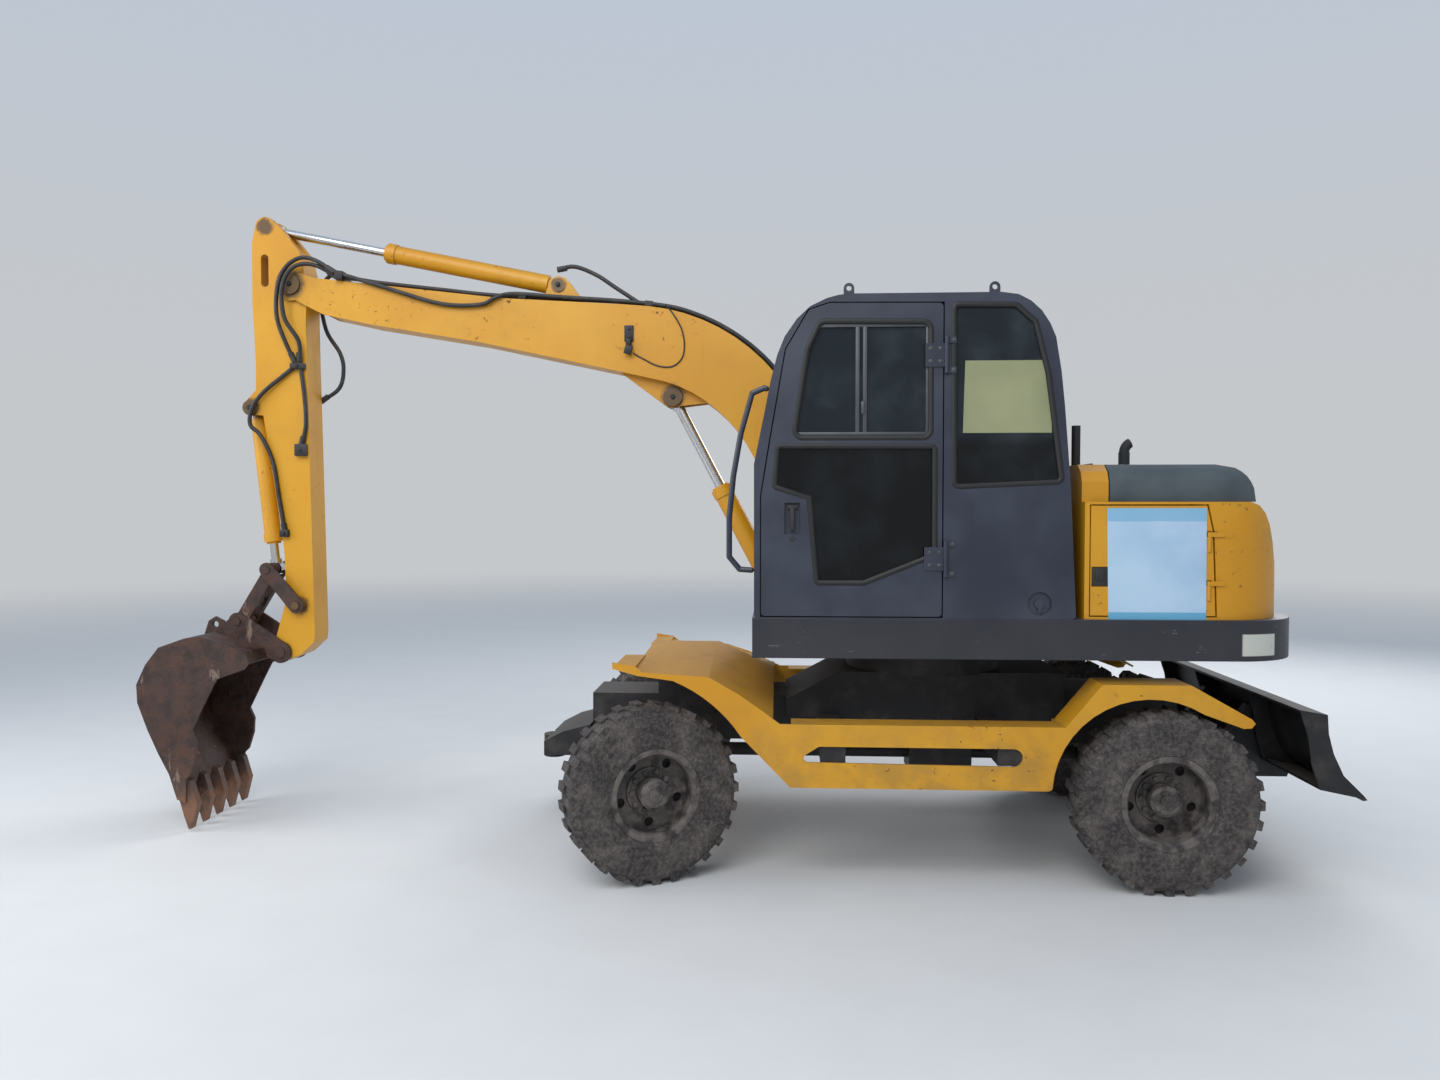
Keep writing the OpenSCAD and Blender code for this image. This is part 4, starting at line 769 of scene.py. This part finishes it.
# Latch of the engine door: a black plastic tray in the door's notch with a raised grip and a round
# key barrel.
latch_x, latch_z = -0.713, 1.502
catch = bmesh.new()
block(catch, (latch_x, 0.9235, latch_z), (0.076, 0.010, 0.088), 0, 0.003)
block(catch, (latch_x, 0.9290, latch_z + 0.006), (0.046, 0.010, 0.050), 0, 0.004)
lock_barrel(catch, (latch_x, 0.932, latch_z), 0.013, 0.010)
made("engine_door_catch", catch, black_plastic, "engine_door")


# Driver's seat: a foam base and back in black vinyl on a steel box, crowned in the middle and
# pulled in along a sewn seam round each cushion.
def vinyl_look(p, facing):
    grain = p.noise(160, 3)
    return {"Base Color": p.noise(9, 4).mix(srgb(22, 22, 24), srgb(42, 41, 42)),
            "Roughness": grain * 0.15 + 0.5, "height": grain, "depth": 0.0005}


def cushion(name, centre, size, lean):
    """A stuffed pad: a rounded block that swells between its corners, with a seam at half depth."""
    crown, squareness, seam_width, seam_depth = 0.12, 6, 0.12, 0.03
    bm = bmesh.new()
    bmesh.ops.create_cube(bm, size=2)
    bmesh.ops.subdivide_edges(bm, edges=bm.edges[:], cuts=14, use_grid_fill=True)
    thin = size.index(min(size))
    for v in bm.verts:
        round_by = max(abs(c) for c in v.co) / sum(abs(c) ** squareness for c in v.co) ** (1 / squareness)
        q = [c * round_by for c in v.co]
        flat = [c for i, c in enumerate(q) if i != thin]
        q[thin] *= 1 + crown * (1 - flat[0] ** 2) * (1 - flat[1] ** 2) * 4
        seam = 0
        if max(abs(c) for c in flat) > 0.9:
            seam = math.exp(-(q[thin] / seam_width) ** 2) * seam_depth
        v.co = Vector([c * (0.5 - (seam if i != thin else 0)) * size[i] for i, c in enumerate(q)])
    place = Matrix.Translation(centre) @ Matrix.Rotation(lean, 4, "Y")
    bmesh.ops.transform(bm, verts=bm.verts[:], matrix=place)
    pad = made(name, bm, vinyl, "upper", 60)
    return pad


vinyl = finish_named("seat_vinyl", vinyl_look)
seat_low, seat_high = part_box("seat")
middle, floor_z = (seat_low[1] + seat_high[1]) / 2, seat_low[2]
base_pad = cushion("seat_base_cushion", (0.140, middle, floor_z + 0.325), (0.46, 0.46, 0.12), 0)
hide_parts("seat")
cushion("seat_back_cushion", (-0.178, middle, floor_z + 0.690), (0.12, 0.45, 0.58), math.radians(-10))
stand = bmesh.new()
block(stand, (0.130, middle, floor_z + 0.130), (0.38, 0.32, 0.255), 0, 0.012)
made("seat_stand", stand, black_plastic, "upper")


# Ground and light: a pale seamless floor that fades into an even sky, and large soft lamps, as on an
# overcast day.
FLOOR_REACH = 30.0


def floor_look(p, facing):
    far = p.node("ShaderNodeVectorMath", {"operation": "LENGTH"}, {0: p}, 1)
    return {"Base Color": p.noise(3, 3).mix((0.60, 0.60, 0.59), (0.65, 0.65, 0.64)), "Roughness": 0.9,
            "Alpha": 1.0 - far.band(8.0, FLOOR_REACH - 4)}


bm = bmesh.new()
bmesh.ops.create_grid(bm, x_segments=1, y_segments=1, size=FLOOR_REACH)
floor_mesh = bpy.data.meshes.new("floor")
bm.to_mesh(floor_mesh)
bm.free()
floor = bpy.data.objects.new("floor", floor_mesh)
scene.collection.objects.link(floor)
floor.data.materials.append(finish_named("floor_pale", floor_look))

world = bpy.data.worlds.new("sky")
scene.world = world
world.use_nodes = True
tree = world.node_tree
background = tree.nodes["Background"]
up = Sock(tree, tree.nodes.new("ShaderNodeTexCoord").outputs["Generated"]).along(2)
put(tree, background.inputs["Color"], up.band(0.0, 0.7).mix((0.70, 0.72, 0.74), (0.60, 0.70, 0.86)))
background.inputs["Strength"].default_value = 0.8
# lamps as name, place, what it shines at, width in metres and watts
for name, at, aim, size, power in (("key", (3, 7, 7), (1, 0, 1), 6, 520),
                                   ("back", (-4, -6, 6), (0, 0, 1), 6, 360),
                                   ("front", (8, 2, 4), (2, 0, 1.5), 4, 160)):
    lamp = bpy.data.lights.new(name, "AREA")
    lamp.size, lamp.energy = size, power
    o = bpy.data.objects.new(name, lamp)
    o.location = at
    o.rotation_euler = (Vector(aim) - Vector(at)).to_track_quat("-Z", "Y").to_euler()
    scene.collection.objects.link(o)


# Camera: at standing eye height on the left side, turned a little towards the front and tilted
# slightly down, with a wide lens.
eye = (0.793, 6.117, 1.84)
yaw, tilt = math.radians(3.2), math.radians(1.853)
right = Vector((-math.cos(yaw), -math.sin(yaw), 0))
ahead = Vector((math.sin(yaw) * math.cos(tilt), -math.cos(yaw) * math.cos(tilt), -math.sin(tilt)))
turn = Matrix((right, right.cross(ahead), -ahead)).transposed().to_4x4()
view = bpy.data.cameras.new("view")
view.lens, view.sensor_width = 27.05, 36
camera = bpy.data.objects.new("view", view)
camera.matrix_world = Matrix.Translation(eye) @ turn
scene.collection.objects.link(camera)
scene.camera = camera
